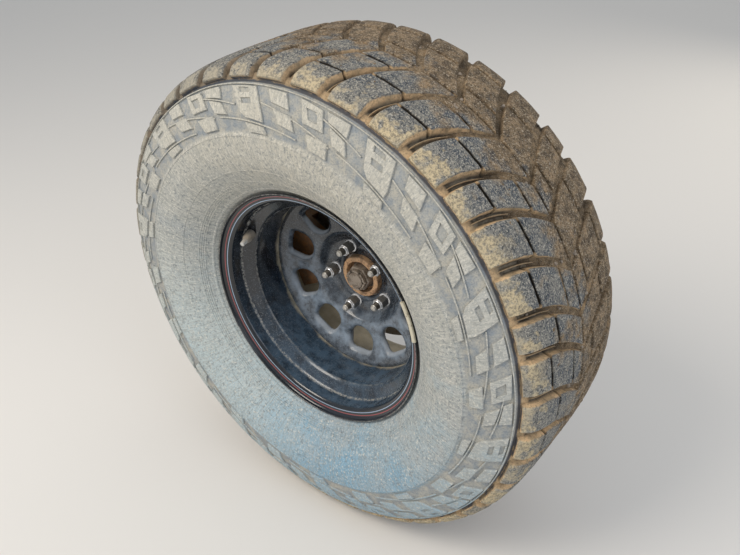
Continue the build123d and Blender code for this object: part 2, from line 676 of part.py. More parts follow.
# Steering
def knuckle():
    body = rod(KNUCKLE_R, KNUCKLE_Y, KNUCKLE_BACK_Y)
    arms = sector(KNUCKLE_R - 11, SLIDE_PITCH_R + 13, CALIPER_DEG, SLIDE_HALF_DEG + 5)
    window_r = PISTON_PITCH_R - PISTON_R - 5
    arms -= sector(window_r, SLIDE_PITCH_R + 20, CALIPER_DEG, CALIPER_HALF_DEG + 2.5)
    body += slab(BRACKET_Y, BRACKET_BACK_Y, arms)
    upper = [
        (-62, 12), (-66, 50), (-60, 66), (-42, 89), (0, 89), (0, 64), (-26, 64), (-40, 50),
        (-42, 12),
    ]
    lower = [
        (-57, -28), (-52, -67), (-40, -84), (-26, -118), (0, -118), (0, -92), (-29, -92),
        (-29, -60), (-36, -28),
    ]
    body += king_arm(upper) + king_rod(EAR_R, *UPPER_KNUCKLE_EAR)
    body += king_arm(lower) + king_rod(EAR_R, *LOWER_KNUCKLE_EAR)
    reach = KING_Y - TIE_ROD_Y
    plan = make_face(Polyline(
        (0, KING_Y - 53), (TIE_ROD_X, KING_Y - 52), (TIE_ROD_X, KING_Y - 18),
        (70, KING_Y - 28), (36, KING_Y - 40), (0, KING_Y - 41), close=True,
    ))
    plan += Pos(TIE_ROD_X, reach) * Circle(STEER_BOSS_R)
    plan -= Pos(TIE_ROD_X, reach) * Circle(TIE_ROD_HOLE_R)
    body += Pos(0, 0, TIE_ROD_Z - STEER_ARM_T / 2) * extrude(plan, STEER_ARM_T)
    body -= rod(BEARING_PILOT_R + RUNNING, KNUCKLE_Y, STUB_Y + SHOULDER_LEN)
    body -= king_rod(BALL_STUD_R + RUNNING, LOWER_KNUCKLE_EAR[0], UPPER_KNUCKLE_EAR[1])
    for x, z in around(BEARING_BOLTS, BEARING_BOLT_PITCH_R, BOLT_DEG):
        body -= rod(BEARING_BOLT_R + RUNNING, KNUCKLE_Y, KNUCKLE_BACK_Y, x, z)
    for x, z in slide_places():
        body -= rod(SLIDE_R + RUNNING, BRACKET_Y, BRACKET_BACK_Y, x, z)
    return body


def ball_joint(yoke_ear):
    low, high = yoke_ear
    middle = (low + high) / 2
    can = king_rod(BALL_HOUSING_R, low - 1.5, high + 2)
    can += king_rod(BALL_HOUSING_R + 3, high, high + 2)
    can -= king(Pos(0, 0, middle) * Sphere(BALL_R + RUNNING))
    return can - king_rod(BALL_STUD_R + 1.5, low - 1.5, middle)


def ball_stud(yoke_ear, knuckle_ear):
    middle = sum(yoke_ear) / 2
    ball = king(Pos(0, 0, middle) * Sphere(BALL_R))
    return ball + king_rod(BALL_STUD_R, knuckle_ear[0] - BALL_NUT_H - 3, middle)


def ball_nut(knuckle_ear):
    top = knuckle_ear[0]
    grip = extrude(hexagon(BALL_NUT_FLATS), BALL_NUT_H)
    nut = king(Pos(0, 0, top - BALL_NUT_H) * grip)
    return nut - king_rod(BALL_STUD_R + RUNNING, top - BALL_NUT_H, top)


def axle_yoke():
    upper = [
        (0, 94), (0, 122), (36, 122), (78, 66), (82, 30), (50, 30), (44, 62), (28, 94),
    ]
    lower = [
        (0, -61), (26, -61), (46, -40), (56, -16), (90, -16), (90, -50), (48, -87), (0, -87),
    ]
    web_y = KING_Y + WEB_TO_KING
    body = rod(SOCKET_R, web_y, 0)
    body += king_arm(upper) + king_rod(EAR_R + 3, *UPPER_YOKE_EAR)
    body += king_arm(lower) + king_rod(EAR_R, *LOWER_YOKE_EAR)
    body -= rod(SHAFT_HOLE_R, web_y - 60, -SOCKET_DEPTH) + rod(TUBE_R, -SOCKET_DEPTH, 0)
    return body - king_rod(BALL_HOUSING_R, LOWER_YOKE_EAR[0], UPPER_YOKE_EAR[1])


save_list = {
    "tyre": tyre(),
    "rim": rim(),
    "wheel_disc": wheel_disc(),
    "valve_stem": valve(),
    "valve_cap": valve_cap(),
    "wheel_weight": wheel_weight(),
    "hub": hub(),
    "stub_shaft": stub_shaft(),
    "axle_washer": axle_washer(),
    "axle_nut": axle_nut(),
    "nut_retainer": nut_retainer(),
    "cotter_pin": cotter_pin(),
    "brake_disc": brake_disc(),
    "bearing_housing": bearing_housing(),
    "dust_shield": dust_shield(),
    "brake_pad_outer": brake_pad(ROTOR_Y, -1),
    "brake_pad_inner": brake_pad(ROTOR_BACK_Y, 1),
    "caliper": caliper(),
    "brake_piston": brake_piston(),
    "bleeder": bleeder(),
    "knuckle": knuckle(),
    "upper_ball_joint": ball_joint(UPPER_YOKE_EAR),
    "lower_ball_joint": ball_joint(LOWER_YOKE_EAR),
    "ball_stud_upper": ball_stud(UPPER_YOKE_EAR, UPPER_KNUCKLE_EAR),
    "ball_stud_lower": ball_stud(LOWER_YOKE_EAR, LOWER_KNUCKLE_EAR),
    "ball_nut_upper": ball_nut(UPPER_KNUCKLE_EAR),
    "ball_nut_lower": ball_nut(LOWER_KNUCKLE_EAR),
    "axle_yoke": axle_yoke(),
}
for k, (x, z) in enumerate(around(STUDS, STUD_PCD / 2, FIRST_STUD_DEG), 1):
    save_list[f"wheel_stud_{k}"] = wheel_stud(x, z)
    save_list[f"lug_nut_{k}"] = lug_nut(x, z)
for k, (x, z) in enumerate(around(BEARING_BOLTS, BEARING_BOLT_PITCH_R, BOLT_DEG), 1):
    save_list[f"bearing_bolt_{k}"] = bearing_bolt(x, z)
for k, (x, z) in enumerate(slide_places(), 1):
    save_list[f"slide_pin_{k}"] = slide_pin(x, z)
for name, shape in save_list.items():
    export_step(shape, f"parts/{name}.step")
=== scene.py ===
# %% [markdown]
# # Front wheel end of a lifted off-road 4x4
# A mud tyre on a deep steel wheel, the hub and brake behind it, and the knuckle that steers it.
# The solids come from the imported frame, in metres: +X to the front of the vehicle, +Y inboard
# along the wheel's axis, +Z up. This script dresses them. Shapes are worked out in millimetres,
# because every size on a wheel is known that way, and are turned to metres when they are done.

# %% Frame
import bmesh
import bpy
import json
from functools import partial
from math import atan2, cos, degrees, hypot, pi, radians, sin
from mathutils import Matrix, Vector, noise
from random import Random


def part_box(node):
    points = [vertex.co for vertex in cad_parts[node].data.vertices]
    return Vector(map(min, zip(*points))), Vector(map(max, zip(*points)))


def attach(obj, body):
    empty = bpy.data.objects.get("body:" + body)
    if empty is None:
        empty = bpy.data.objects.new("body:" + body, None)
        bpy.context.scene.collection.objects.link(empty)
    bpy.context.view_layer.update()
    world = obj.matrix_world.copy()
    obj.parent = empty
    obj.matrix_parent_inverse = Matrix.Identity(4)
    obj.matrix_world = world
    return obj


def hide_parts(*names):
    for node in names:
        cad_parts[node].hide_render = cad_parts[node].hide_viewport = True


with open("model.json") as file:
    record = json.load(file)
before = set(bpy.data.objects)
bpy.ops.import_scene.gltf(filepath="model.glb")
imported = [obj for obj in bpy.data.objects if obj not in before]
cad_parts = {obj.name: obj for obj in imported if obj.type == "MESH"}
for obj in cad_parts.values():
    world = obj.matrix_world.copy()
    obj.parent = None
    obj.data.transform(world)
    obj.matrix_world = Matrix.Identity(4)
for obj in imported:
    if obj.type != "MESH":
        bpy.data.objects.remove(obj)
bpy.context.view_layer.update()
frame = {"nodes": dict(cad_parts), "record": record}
MM = 0.001
TOUCH = 0.01  # millimetres: places nearer than this are one


def box_mm(node):
    """Lowest and highest corner of a node, in millimetres."""
    return [Vector(corner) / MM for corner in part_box(node)]


tyre_low, tyre_high = box_mm("tyre")
CENTRE_Y = (tyre_high.y + tyre_low.y) / 2

# %% [markdown]
# ## Camera
# The photograph looks down at the wheel from ahead of it and outboard, at about a standing
# person's height. A fit of the rim's lip, the nuts and the tyre's ridges gave the place, the
# target, the lens and a slight roll. The camera could be aimed with a constraint, but a matrix
# built from its three axes holds the roll too, so that is used here.

# %% Camera
CAMERA_AT = Vector((711.6, -1100.6, 708.5)) * MM
CAMERA_TO = Vector((129.3, -377.0, 115.9)) * MM
ROLL_DEG = -3.0
FOCAL_PX = 766.7
IMAGE_W = 740
SENSOR_MM = 36.0


def linked(name, data):
    """A new object in the scene."""
    thing = bpy.data.objects.new(name, data)
    bpy.context.collection.objects.link(thing)
    return thing


def aimed(eye, target, roll_deg=0.0):
    """Matrix of a camera or a lamp that stands at eye and looks at target."""
    back = (eye - target).normalized()
    right = Vector((0, 0, 1)).cross(back).normalized()
    turn = Matrix.Rotation(radians(roll_deg), 3, back)
    axes = Matrix((turn @ right, turn @ back.cross(right), back)).transposed()
    return Matrix.Translation(eye) @ axes.to_4x4()


camera_data = bpy.data.cameras.new("photo_view")
camera_data.sensor_width = SENSOR_MM
camera_data.lens = SENSOR_MM * FOCAL_PX / IMAGE_W
camera = linked("photo_view", camera_data)
camera.matrix_world = aimed(CAMERA_AT, CAMERA_TO, ROLL_DEG)
bpy.context.scene.camera = camera
bpy.context.scene.view_settings.view_transform = "Standard"
print("lens", round(camera_data.lens, 1), "mm")

# %% [markdown]
# ## Colours and nodes
# Colours are written as sRGB hex, the way paint and photographs are read, and one function
# turns them to the linear values that the shader works in. A table names the few kinds of node
# that the recipes need, and one small function adds any of them, sets what is fixed and links
# what isn't. Dirt and wear are coats, laid over a colour one after another as they were on the
# real thing. A noise's scale is one over the size of its patches in millimetres.

# %% Colours and nodes
KINDS = {  # short name: type, sockets in the order they are given, output, settings
    "coords": ("TexCoord", (), None, {}),
    "stored": ("Attribute", (), None, {}),
    "parts": ("SeparateXYZ", (0,), None, {}),
    "vector": ("CombineXYZ", (0, 1, 2), 0, {}),
    "scaled": ("VectorMath", (0, 1), 0, {"operation": "MULTIPLY"}),
    "moved": ("VectorMath", (0, 1), 0, {"operation": "ADD"}),
    "unit": ("VectorMath", (0,), 0, {"operation": "NORMALIZE"}),
    "length": ("VectorMath", (0,), "Value", {"operation": "LENGTH"}),
    "apart": ("VectorMath", (0, 1), "Value", {"operation": "DISTANCE"}),
    "along": ("VectorMath", (0, 1), "Value", {"operation": "DOT_PRODUCT"}),
    "plus": ("Math", (0, 1), 0, {"operation": "ADD"}),
    "minus": ("Math", (0, 1), 0, {"operation": "SUBTRACT"}),
    "size": ("Math", (0,), 0, {"operation": "ABSOLUTE"}),
    "times": ("Math", (0, 1), 0, {"operation": "MULTIPLY", "use_clamp": True}),
    "most": ("Math", (0, 1), 0, {"operation": "MAXIMUM", "use_clamp": True}),
    "level": ("MapRange", ("Value", "From Min", "From Max", "To Min", "To Max"), 0, {}),
    "mix": ("Mix", (0, 6, 7), 2, {"data_type": "RGBA"}),
    "noise": ("TexNoise", ("Vector", "Scale", "Detail", "Roughness", "Distortion"), "Fac", {}),
    "bump": ("Bump", ("Height", "Strength", "Distance"), 0, {}),
    "surface": ("BsdfPrincipled", ("Base Color", "Roughness"), 0, {}),
    "output": ("OutputMaterial", ("Surface",), None, {}),
}


def tone(code):
    """Linear colour from an sRGB hex code."""
    channels = [int(code[i:i + 2], 16) / 255 for i in (1, 3, 5)]
    linear = [c / 12.92 if c <= 0.04045 else ((c + 0.055) / 1.055) ** 2.4 for c in channels]
    return (*linear, 1.0)


def add_node(tree, kind, *inputs, sockets=(), **settings):
    """Adds a node of a kind, with inputs in the table's order and further sockets by name.

    An input is fixed, or another node's output, or such an output with the levels that it is
    read between.
    """
    type_name, order, output, fixed = KINDS[kind]
    node = tree.nodes.new("ShaderNode" + type_name)
    for setting, value in {**fixed, **settings}.items():
        setattr(node, setting, value)
    for socket, value in [*zip(order, inputs), *dict(sockets).items()]:
        if isinstance(value, tuple) and isinstance(value[0], bpy.types.NodeSocket):
            value = add_node(tree, "level", *value)
        if isinstance(value, bpy.types.NodeSocket):
            tree.links.new(value, node.inputs[socket])
        else:
            node.inputs[socket].default_value = tone(value) if isinstance(value, str) else value
    return node.outputs if output is None else node.outputs[output]


def start_material(name):
    """A material, what adds its nodes, and the piece's own coordinates in millimetres."""
    material = bpy.data.materials.new(name)
    material.use_nodes = True
    material.node_tree.nodes.clear()
    node = partial(add_node, material.node_tree)
    return material, node, node("scaled", node("coords")["Object"], (1 / MM,) * 3)


def end_material(material, node, colour, rough, relief=(), sockets=()):
    """Closes a material; relief is a height, its strength and its depth in millimetres."""
    more = dict(sockets)
    if relief:
        height, strength, depth = relief
        more["Normal"] = node("bump", height, strength, depth * MM)
    node("output", node("surface", colour, rough, sockets=more))
    return material


def coated(node, colour, *coats):
    """A colour under coats, each given as how far it covers and its own colour."""
    for cover, coat in coats:
        colour = node("mix", cover, colour, coat)
    return colour


def wheel_place(node, place):
    """Radius from the axis, distance outboard of the tyre's middle, direction and height."""
    x, y, z = node("parts", place)
    flat = node("vector", x, 0.0, z)
    return node("length", flat), node("minus", CENTRE_Y, y), node("unit", flat), z


print("grey card", [round(c, 3) for c in tone("#808080")[:3]])

# %% [markdown]
# ## Making pieces
# A wheel is mostly turned and pressed metal, so most pieces start as an outline spun about the
# axis. A Screw modifier could turn them too, but a shape that is finished here can still be bent
# and measured before it is kept. Each finished piece says which body it rides on, which finish it
# wears and which solids it stands for.

# %% Pieces
TURNS = 240


def finish_piece(name, bm, body, material, stands_for=(), sharp_deg=38):
    """Scales a shape to metres and makes it a smooth-shaded piece that rides on a body."""
    bmesh.ops.scale(bm, vec=(MM,) * 3, verts=bm.verts)
    bmesh.ops.recalc_face_normals(bm, faces=bm.faces)
    mesh = bpy.data.meshes.new(name)
    bm.to_mesh(mesh)
    bm.free()
    mesh.shade_smooth()
    mesh.set_sharp_from_angle(angle=radians(sharp_deg))
    mesh.materials.append(material)
    piece = linked(name, mesh)
    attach(piece, body)
    if stands_for:
        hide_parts(*stands_for)
    print(name, len(mesh.polygons), "faces")
    return piece


def turn_round(bm, verts, steps=TURNS):
    """Joins vertices in a loop and spins it once about the wheel's axis."""
    edges = [bm.edges.new(pair) for pair in zip(verts, verts[1:] + verts[:1])]
    bmesh.ops.spin(bm, geom=verts + edges, cent=(0, 0, 0), axis=(0, 1, 0), angle=2 * pi,
                   steps=steps, use_merge=True)


def spun(outline, steps=TURNS, at=(0.0, 0.0)):
    """Ring turned from a closed outline of (radius, y) points about an axis along Y."""
    bm = bmesh.new()
    turn_round(bm, [bm.verts.new((r, y, 0.0)) for r, y in outline], steps)
    bmesh.ops.remove_doubles(bm, verts=bm.verts, dist=0.001)
    bmesh.ops.translate(bm, vec=(at[0], 0, at[1]), verts=bm.verts)
    return bm


print("round pieces are turned in", TURNS, "steps")

# %% [markdown]
# ## The tyre's own coordinates
# Everything on the tyre is laid out flat, as a tyre mould is engraved: an angle round the wheel,
# an arc length up from the rim over the shoulder to the middle of the tread, and a height above
# or below the outer profile. Blocks are drawn as flat outlines, raised, and then wrapped on. A
# Curve modifier could bend a flat tyre round too, but functions put every vertex exactly on the
# measured profile.

# %% Tyre coordinates
MIDDLE_S = 349.0
PROFILE = (  # arc length from the rim, radius, distance from the middle plane
    (0, 208, 103), (12, 215, 113), (35, 232, 129), (63, 255, 145), (90, 280, 155.0),
    (115, 305, 158.1), (140, 330, 157.2), (166, 355, 152), (185, 372, 144.5), (203, 388, 136.5),
    (219, 402, 127), (240, 410.2, 108), (279, 414.2, 70), (MIDDLE_S, 414.9, 0), (419, 414.2, -70),
)


def profile_at(s):
    """Radius, distance from the middle plane and outward direction at an arc length."""
    i = max(k for k in range(len(PROFILE) - 1) if PROFILE[k][0] <= s or k == 0)
    (s0, *p0), (s1, *p1) = PROFILE[i], PROFILE[i + 1]

    def slope(k, axis):
        a, b = PROFILE[max(k - 1, 0)], PROFILE[min(k + 1, len(PROFILE) - 1)]
        return (b[axis + 1] - a[axis + 1]) / (b[0] - a[0])

    span = s1 - s0
    t = (s - s0) / span
    place, heading = [], []
    for axis in (0, 1):
        m0, m1 = slope(i, axis) * span, slope(i + 1, axis) * span
        a, b = p0[axis], p1[axis]
        place.append(a * (2 * t ** 3 - 3 * t ** 2 + 1) + m0 * (t ** 3 - 2 * t ** 2 + t)
                     + b * (3 * t ** 2 - 2 * t ** 3) + m1 * (t ** 3 - t ** 2))
        heading.append(((6 * t ** 2 - 6 * t) * (a - b) + m0 * (3 * t ** 2 - 4 * t + 1)
                        + m1 * (3 * t ** 2 - 2 * t)) / span)
    size = hypot(*heading)
    return place[0], place[1], -heading[1] / size, heading[0] / size


def on_tyre(theta, s, lift, side=1):
    """Place on the tyre in millimetres; side is 1 outboard of the middle plane, -1 inboard."""
    r, out, up_r, up_out = profile_at(min(s, 2 * MIDDLE_S - s))
    across = 1 if s <= MIDDLE_S else -1
    r, out = r + up_r * lift, (out + up_out * lift) * across * side
    return Vector((r * cos(radians(theta)), CENTRE_Y - out, r * sin(radians(theta))))


def tyre_shape():
    """Empty shape whose vertices keep where they are: across a pitch, arc length and height."""
    bm = bmesh.new()
    return bm, bm.verts.layers.float_vector.new("where")


def eased(x, x0, x1, y0, y1):
    """Smooth step from y0 at x0 to y1 at x1."""
    t = min(max((x - x0) / (x1 - x0), 0.0), 1.0)
    return y0 + (y1 - y0) * t * t * (3 - 2 * t)


print("widest", round(profile_at(115)[1], 1), "mm from the middle plane")

# %% [markdown]
# ## Carcass
# The body of the tyre is one turned shape. Its line runs from the bead up the sidewall, where
# fine moulded rings stand out, to the floor of the tread, 15.5 mm under the lugs' tops. The
# rings could be a bump in the material, but they catch the light along the shoulder, so they
# are real. The inner side closes the shape, as a tyre's casing does.

# %% Carcass
RELIEF = 3.4  # blocks on the sidewall
TREAD_DEPTH = 15.5
RINGS = (  # arc length, half width, height
    (15.0, 2.6, 0.9), (28.5, 1.0, 0.7), (32.0, 0.8, 0.6), (35.5, 0.8, 0.6), (39.0, 0.8, 0.6),
    (66.0, 0.7, 0.5), (124.0, 1.1, 0.8), (197.0, 1.2, 3.0),
)
BEAD = ((190.6, 80.0), (190.6, 96.0), (194.5, 101.0), (203.0, 101.6), (209.5, 106.0))
CASING = ((212.0, 88.0), (235.0, 110.0), (260.0, 130.0), (288.0, 142.0), (318.0, 143.5),
          (345.0, 137.0), (368.0, 122.0), (384.0, 100.0), (394.0, 66.0), (398.0, 0.0))


SHOULDER_STEP = 4.5
DROPS = (  # arc length from and to, how far the carcass drops there
    (122, 131, RELIEF), (198, 202, SHOULDER_STEP),
    (204, 232, TREAD_DEPTH - RELIEF - SHOULDER_STEP),
)


def floor_depth(s):
    """How far the carcass lies under the outer profile at an arc length."""
    depth = sum(eased(s, start, end, 0.0, drop) for start, end, drop in DROPS)
    for middle, half, height in RINGS:
        depth -= height * max(0.0, 1 - ((s - middle) / half) ** 4)
    return depth


def carcass():
    """The tyre's closed section, spun; each vertex keeps its arc length and height."""
    stops = {12.0 + k * 3.0 for k in range(112)} | {MIDDLE_S, 199.0, 200.0, 201.0, 202.0, 204.0}
    for middle, half, _ in RINGS:
        stops |= {middle + half * t for t in (-1, -0.8, -0.5, 0, 0.5, 0.8, 1)}
    outer = [(r, out, 0.0, 0.0) for r, out in BEAD]
    for s in sorted(stops):
        point = on_tyre(0.0, s, -floor_depth(s))
        outer.append((point.x, CENTRE_Y - point.y, s, -floor_depth(s)))
    far = [(r, -out, 2 * MIDDLE_S - s, lift) for r, out, s, lift in outer[-2::-1]]
    inner = [(r, -out, 2 * MIDDLE_S, 0.0) for r, out in CASING]
    inner += [(r, out, 0.0, 0.0) for r, out in CASING[-2::-1]]
    bm, layer = tyre_shape()
    verts = []
    for r, out, s, lift in outer + far + inner:
        verts.append(bm.verts.new((r, CENTRE_Y - out, 0.0)))
        verts[-1][layer] = (0.0, s, lift)
    turn_round(bm, verts)
    return bm


tyre_carcass = carcass()
print("carcass", len(tyre_carcass.faces), "faces")

# %% [markdown]
# ## Flat blocks
# A tyre's lugs and the blocks on its sidewall are moulded with sloping walls, so that the rubber
# leaves its mould, and with a broken top edge. Each is drawn flat as an outline, raised, inset
# for its slope and inset again for its edge. It is then cut every 10 mm, so that it can bend,
# and wrapped on to the tyre. Wrapping after modelling keeps the drawing simple; modelling each
# block in place would need a plane for every one.

# %% Flat blocks
BLOCK_CUT = 10.0
WEAR_SCALE = 0.09  # worn lugs are uneven over about 1 / 0.09 = 11 mm


def block(outline, foot, top, draft, edge):
    """Flat block from an outline at its foot: drafted walls and a bevelled top edge."""
    bm = bmesh.new()
    base = bm.faces.new([bm.verts.new((a, s, foot)) for a, s in outline])
    raised = bmesh.ops.extrude_face_region(bm, geom=[base], use_keep_orig=True)["geom"]
    lid = next(g for g in raised if isinstance(g, bmesh.types.BMFace))
    bmesh.ops.recalc_face_normals(bm, faces=bm.faces)
    if lid.normal.z < 0:
        lid.normal_flip()
    bmesh.ops.translate(bm, vec=(0, 0, 0.5), verts=lid.verts)
    bm.normal_update()
    bmesh.ops.inset_individual(bm, faces=[lid], thickness=draft, depth=top - foot - 0.5 - edge,
                               use_even_offset=True)
    bmesh.ops.inset_individual(bm, faces=[lid], thickness=edge, depth=edge, use_even_offset=True)
    return bm


def sink(bm, outline, depth):
    """Presses a convex outline into the top of a flat block."""
    top = max(v.co.z for v in bm.verts)
    corners = [Vector((a, s, 0)) for a, s in outline]
    centre = sum(corners, Vector()) / len(corners)
    for p, q in zip(corners, corners[1:] + corners[:1]):
        aim = Vector((q.y - p.y, p.x - q.x, 0)).normalized()
        bmesh.ops.bisect_plane(bm, geom=bm.verts[:] + bm.edges[:] + bm.faces[:], plane_co=p,
                               plane_no=aim, dist=TOUCH)

    def inside(point):
        return all(((q - p).cross(point - p).z > 0) == ((q - p).cross(centre - p).z > 0)
                   for p, q in zip(corners, corners[1:] + corners[:1]))

    pressed = [f for f in bm.faces if abs(f.calc_center_median().z - top) < TOUCH
               and inside(f.calc_center_median())]
    bmesh.ops.inset_region(bm, faces=pressed, thickness=0.7, depth=-depth, use_even_offset=True)


def diced(bm, step):
    """Cuts a flat block into strips both ways, so that it can bend."""
    for axis in (0, 1):
        low = min(v.co[axis] for v in bm.verts)
        high = max(v.co[axis] for v in bm.verts)
        for k in range(1, int((high - low) / step) + 1):
            place, aim = Vector(), Vector()
            place[axis], aim[axis] = low + k * (high - low) / (int((high - low) / step) + 1), 1.0
            bmesh.ops.bisect_plane(bm, geom=bm.verts[:] + bm.edges[:] + bm.faces[:],
                                   plane_co=place, plane_no=aim, dist=TOUCH)
    mesh = bpy.data.meshes.new("flat_block")
    bm.to_mesh(mesh)
    bm.free()
    return mesh


def wrap_on(bm, layer, mesh, theta_at, side, jitter=0.0):
    """Adds a flat block to a shape, wrapped on to the tyre."""
    count = len(bm.verts)
    bm.from_mesh(mesh)
    bm.verts.ensure_lookup_table()
    for v in bm.verts[count:]:
        a, s, lift = v.co
        theta = theta_at(a, s)
        s = s if side > 0 else 2 * MIDDLE_S - s
        rough = jitter * noise.noise(Vector((a, s, theta)) * WEAR_SCALE)
        v.co = on_tyre(theta, s, lift - abs(rough))
        v[layer] = (a, s, lift)


print("blocks are cut every", BLOCK_CUT, "mm")

# %% [markdown]
# ## Tread
# The forty pitches of the tread have three lengths, shuffled so that the tyre doesn't hum. Each
# half of a pitch is a lug cut by thin grooves, and every second lug is cut further in. The lugs
# are drawn on a flat pitch 63 mm long and wrapped on at each pitch's own length. An Array
# modifier repeats one length only, so a loop sets them here.

# %% Tread
PITCH_MM = 63.0
SHORT, MIDDLE, LONG = 7.6, 9.0, 9.9  # degrees
SEEN = "MMLLLSLLSLM"
REST = "SMLSMMLSLMSMLMSLSMMSLMSMLSMMS"
FIRST_DEG = 96.0
VOID_LEAN_DEG = 8.2
VOID_FROM, VOID_REACH = 205, 145
VOID_NARROWS, VOID_BENDS = 285.0, 318.0  # arc lengths
AT_SHOULDER, AT_MIDDLE = 3.6, 2.2  # half widths of a void's floor
VOID_TAPER = 65  # over this length it narrows from the one to the other
LEAST_RUN = 8  # no corner of a lug lies nearer its end
LUG_FOOT = -TREAD_DEPTH - 3.0
LUG_WEAR = 0.9


def void_bend(s):
    """Degrees by which a void leans back between the shoulder and the middle of the tread."""
    return -VOID_LEAN_DEG * max((s - VOID_FROM) / VOID_REACH, 0.0) ** 2


def lug_outline(s_from, s_to):
    """Outline of a lug's foot between two arc lengths, with corners where the void changes."""
    def edge(s):
        if s < VOID_NARROWS:
            return AT_SHOULDER
        return AT_SHOULDER + (AT_MIDDLE - AT_SHOULDER) * (s - VOID_NARROWS) / VOID_TAPER

    inner = [s for s in (VOID_NARROWS, VOID_BENDS) if s_from + LEAST_RUN < s < s_to - LEAST_RUN]
    stops = [s_from] + inner + [s_to]
    return [(edge(s), s) for s in stops] + [(PITCH_MM - edge(s), s) for s in reversed(stops)]


LUGS = (  # outlines' ends as arc lengths, for the two kinds of lug
    ((201.5, 256.8), (259.4, 317.6), (320.4, 348.2)),
    ((201.5, 281.7), (284.3, 348.2)),
)
VOID_DRAFT = (5.2, 3.6)  # of the shoulder's lugs and of the others
GROOVE_DRAFT = 1.4
LUG_EDGE = 1.3
RIB_HALF, RIB_TOP = 1.6, -9.5  # of the low rib along each outer void


def steepened(bm, s_from, s_to, draft, outer_end):
    """Makes a lug's walls steep at the thin grooves; its shoulder end keeps its slope."""
    low, high = s_from + draft + LUG_EDGE, s_to - draft - LUG_EDGE
    gain = draft - GROOVE_DRAFT
    for v in bm.verts:
        if v.co.z > LUG_FOOT + 1.0:
            share = min(max((v.co.y - low) / (high - low), 0.0), 1.0)
            v.co.y += gain * (share if outer_end else 2 * share - 1)
    return bm


def pitch_starts():
    """Angle at which each pitch starts, and its length; those out of sight share what is left."""
    pitches = [{"S": SHORT, "M": MIDDLE, "L": LONG}[c] for c in SEEN + REST]
    share = (360 - sum(pitches[:len(SEEN)])) / sum(pitches[len(SEEN):])
    pitches = pitches[:len(SEEN)] + [p * share for p in pitches[len(SEEN):]]
    return [(FIRST_DEG - sum(pitches[:k]), pitch) for k, pitch in enumerate(pitches)]


def on_pitch(start, pitch, a, s):
    """Angle of a place on a pitch, a millimetres across it as drawn."""
    return start - pitch * a / PITCH_MM + void_bend(s)


PITCHES = pitch_starts()


def tread():
    """Both kinds of lug, and the low ribs between them, wrapped on at every pitch."""
    bm, layer = tyre_shape()
    kinds = []
    for ends in LUGS:
        shapes = []
        for k, (s_from, s_to) in enumerate(ends):
            draft = VOID_DRAFT[min(k, 1)]
            lug = block(lug_outline(s_from, s_to), LUG_FOOT, 0.0, draft, LUG_EDGE)
            shapes.append(diced(steepened(lug, s_from, s_to, draft, k == 0), BLOCK_CUT))
        kinds.append(shapes)
    rib = diced(block([(-RIB_HALF, 203), (-RIB_HALF, 284), (RIB_HALF, 284), (RIB_HALF, 203)],
                      LUG_FOOT, RIB_TOP, 0.9, 0.4), BLOCK_CUT)
    for side in (1, -1):
        for k, (start, pitch) in enumerate(PITCHES):
            theta_at = partial(on_pitch, start, pitch)
            for mesh in kinds[(k + 1) % 2]:
                wrap_on(bm, layer, mesh, theta_at, side, LUG_WEAR)
            wrap_on(bm, layer, rib, theta_at, side)
    return bm


tread_blocks = tread()
print("tread", len(PITCHES), "pitches,", len(tread_blocks.faces), "faces")

# %% [markdown]
# ## Sidewall motif
# Ten copies of one motif ring the shoulder: raised blocks, a frame with a sunk square, two bare
# pads and thin diagonal lines. They are drawn flat in degrees and arc length and wrapped on with
# the same functions as the tread. They could be cut out of the carcass, but raised blocks keep
# clean edges of their own.

# %% Sidewall motif
DEG_MM = 6.3
MOTIF_STEP = 36.0
MOTIF_BLOCKS = (  # outline in degrees and arc length, and the outline sunk into its top if any
    (((44.1, 163.8), (38.4, 164.5), (40.3, 192.5), (46.2, 195.4)),
     (((42.9, 171.5), (40.4, 171.5), (41.4, 186), (44.2, 186)),)),
    (((41.2, 132.5), (35.8, 132.5), (36.6, 154.5), (42.9, 153.8)), ()),
    (((60.1, 129.6), (54.2, 130), (55, 140.4), (61.3, 144.2)), ()),
    (((61, 150), (55.3, 146), (55.6, 158), (58.1, 194.8), (65.6, 194.8), (62.7, 157.5)),
     (((61.9, 169.5), (58.9, 170.5), (59.4, 178.5), (62.5, 177.5)),
      ((62.9, 184.5), (59.8, 185.5), (60.4, 192), (63.4, 192)))),
    (((71.5, 156), (67.2, 153), (68.9, 171.5), (73.6, 178)), ()),
    (((50.8, 150), (45.8, 146.3), (47.5, 166.7), (52.7, 169.2)), ()),
    (((74.3, 181), (68.9, 176), (69.5, 194.8), (75.4, 194)), ()),
    (((53.5, 176.7), (48.1, 172.5), (49.8, 194.8), (54.8, 194.8)), ()),
)
MOTIF_LINES = (((56.5, 174), (36.1, 150)), ((77.9, 184.6), (64.4, 167.9)),
               ((70.2, 151), (45.2, 137.5)))
MOTIF_FOOT = -RELIEF - 1.5
LINE_TOP, LINE_WIDTH = -1.2, 3.0
SUNK = 2.4


def bar(p, q, width):
    """Outline of a thin straight bar between two flat points."""
    p, q = Vector((p[0] * DEG_MM, p[1])), Vector((q[0] * DEG_MM, q[1]))
    off = Vector((p.y - q.y, q.x - p.x)).normalized() * width / 2
    return [p + off, q + off, q - off, p - off]


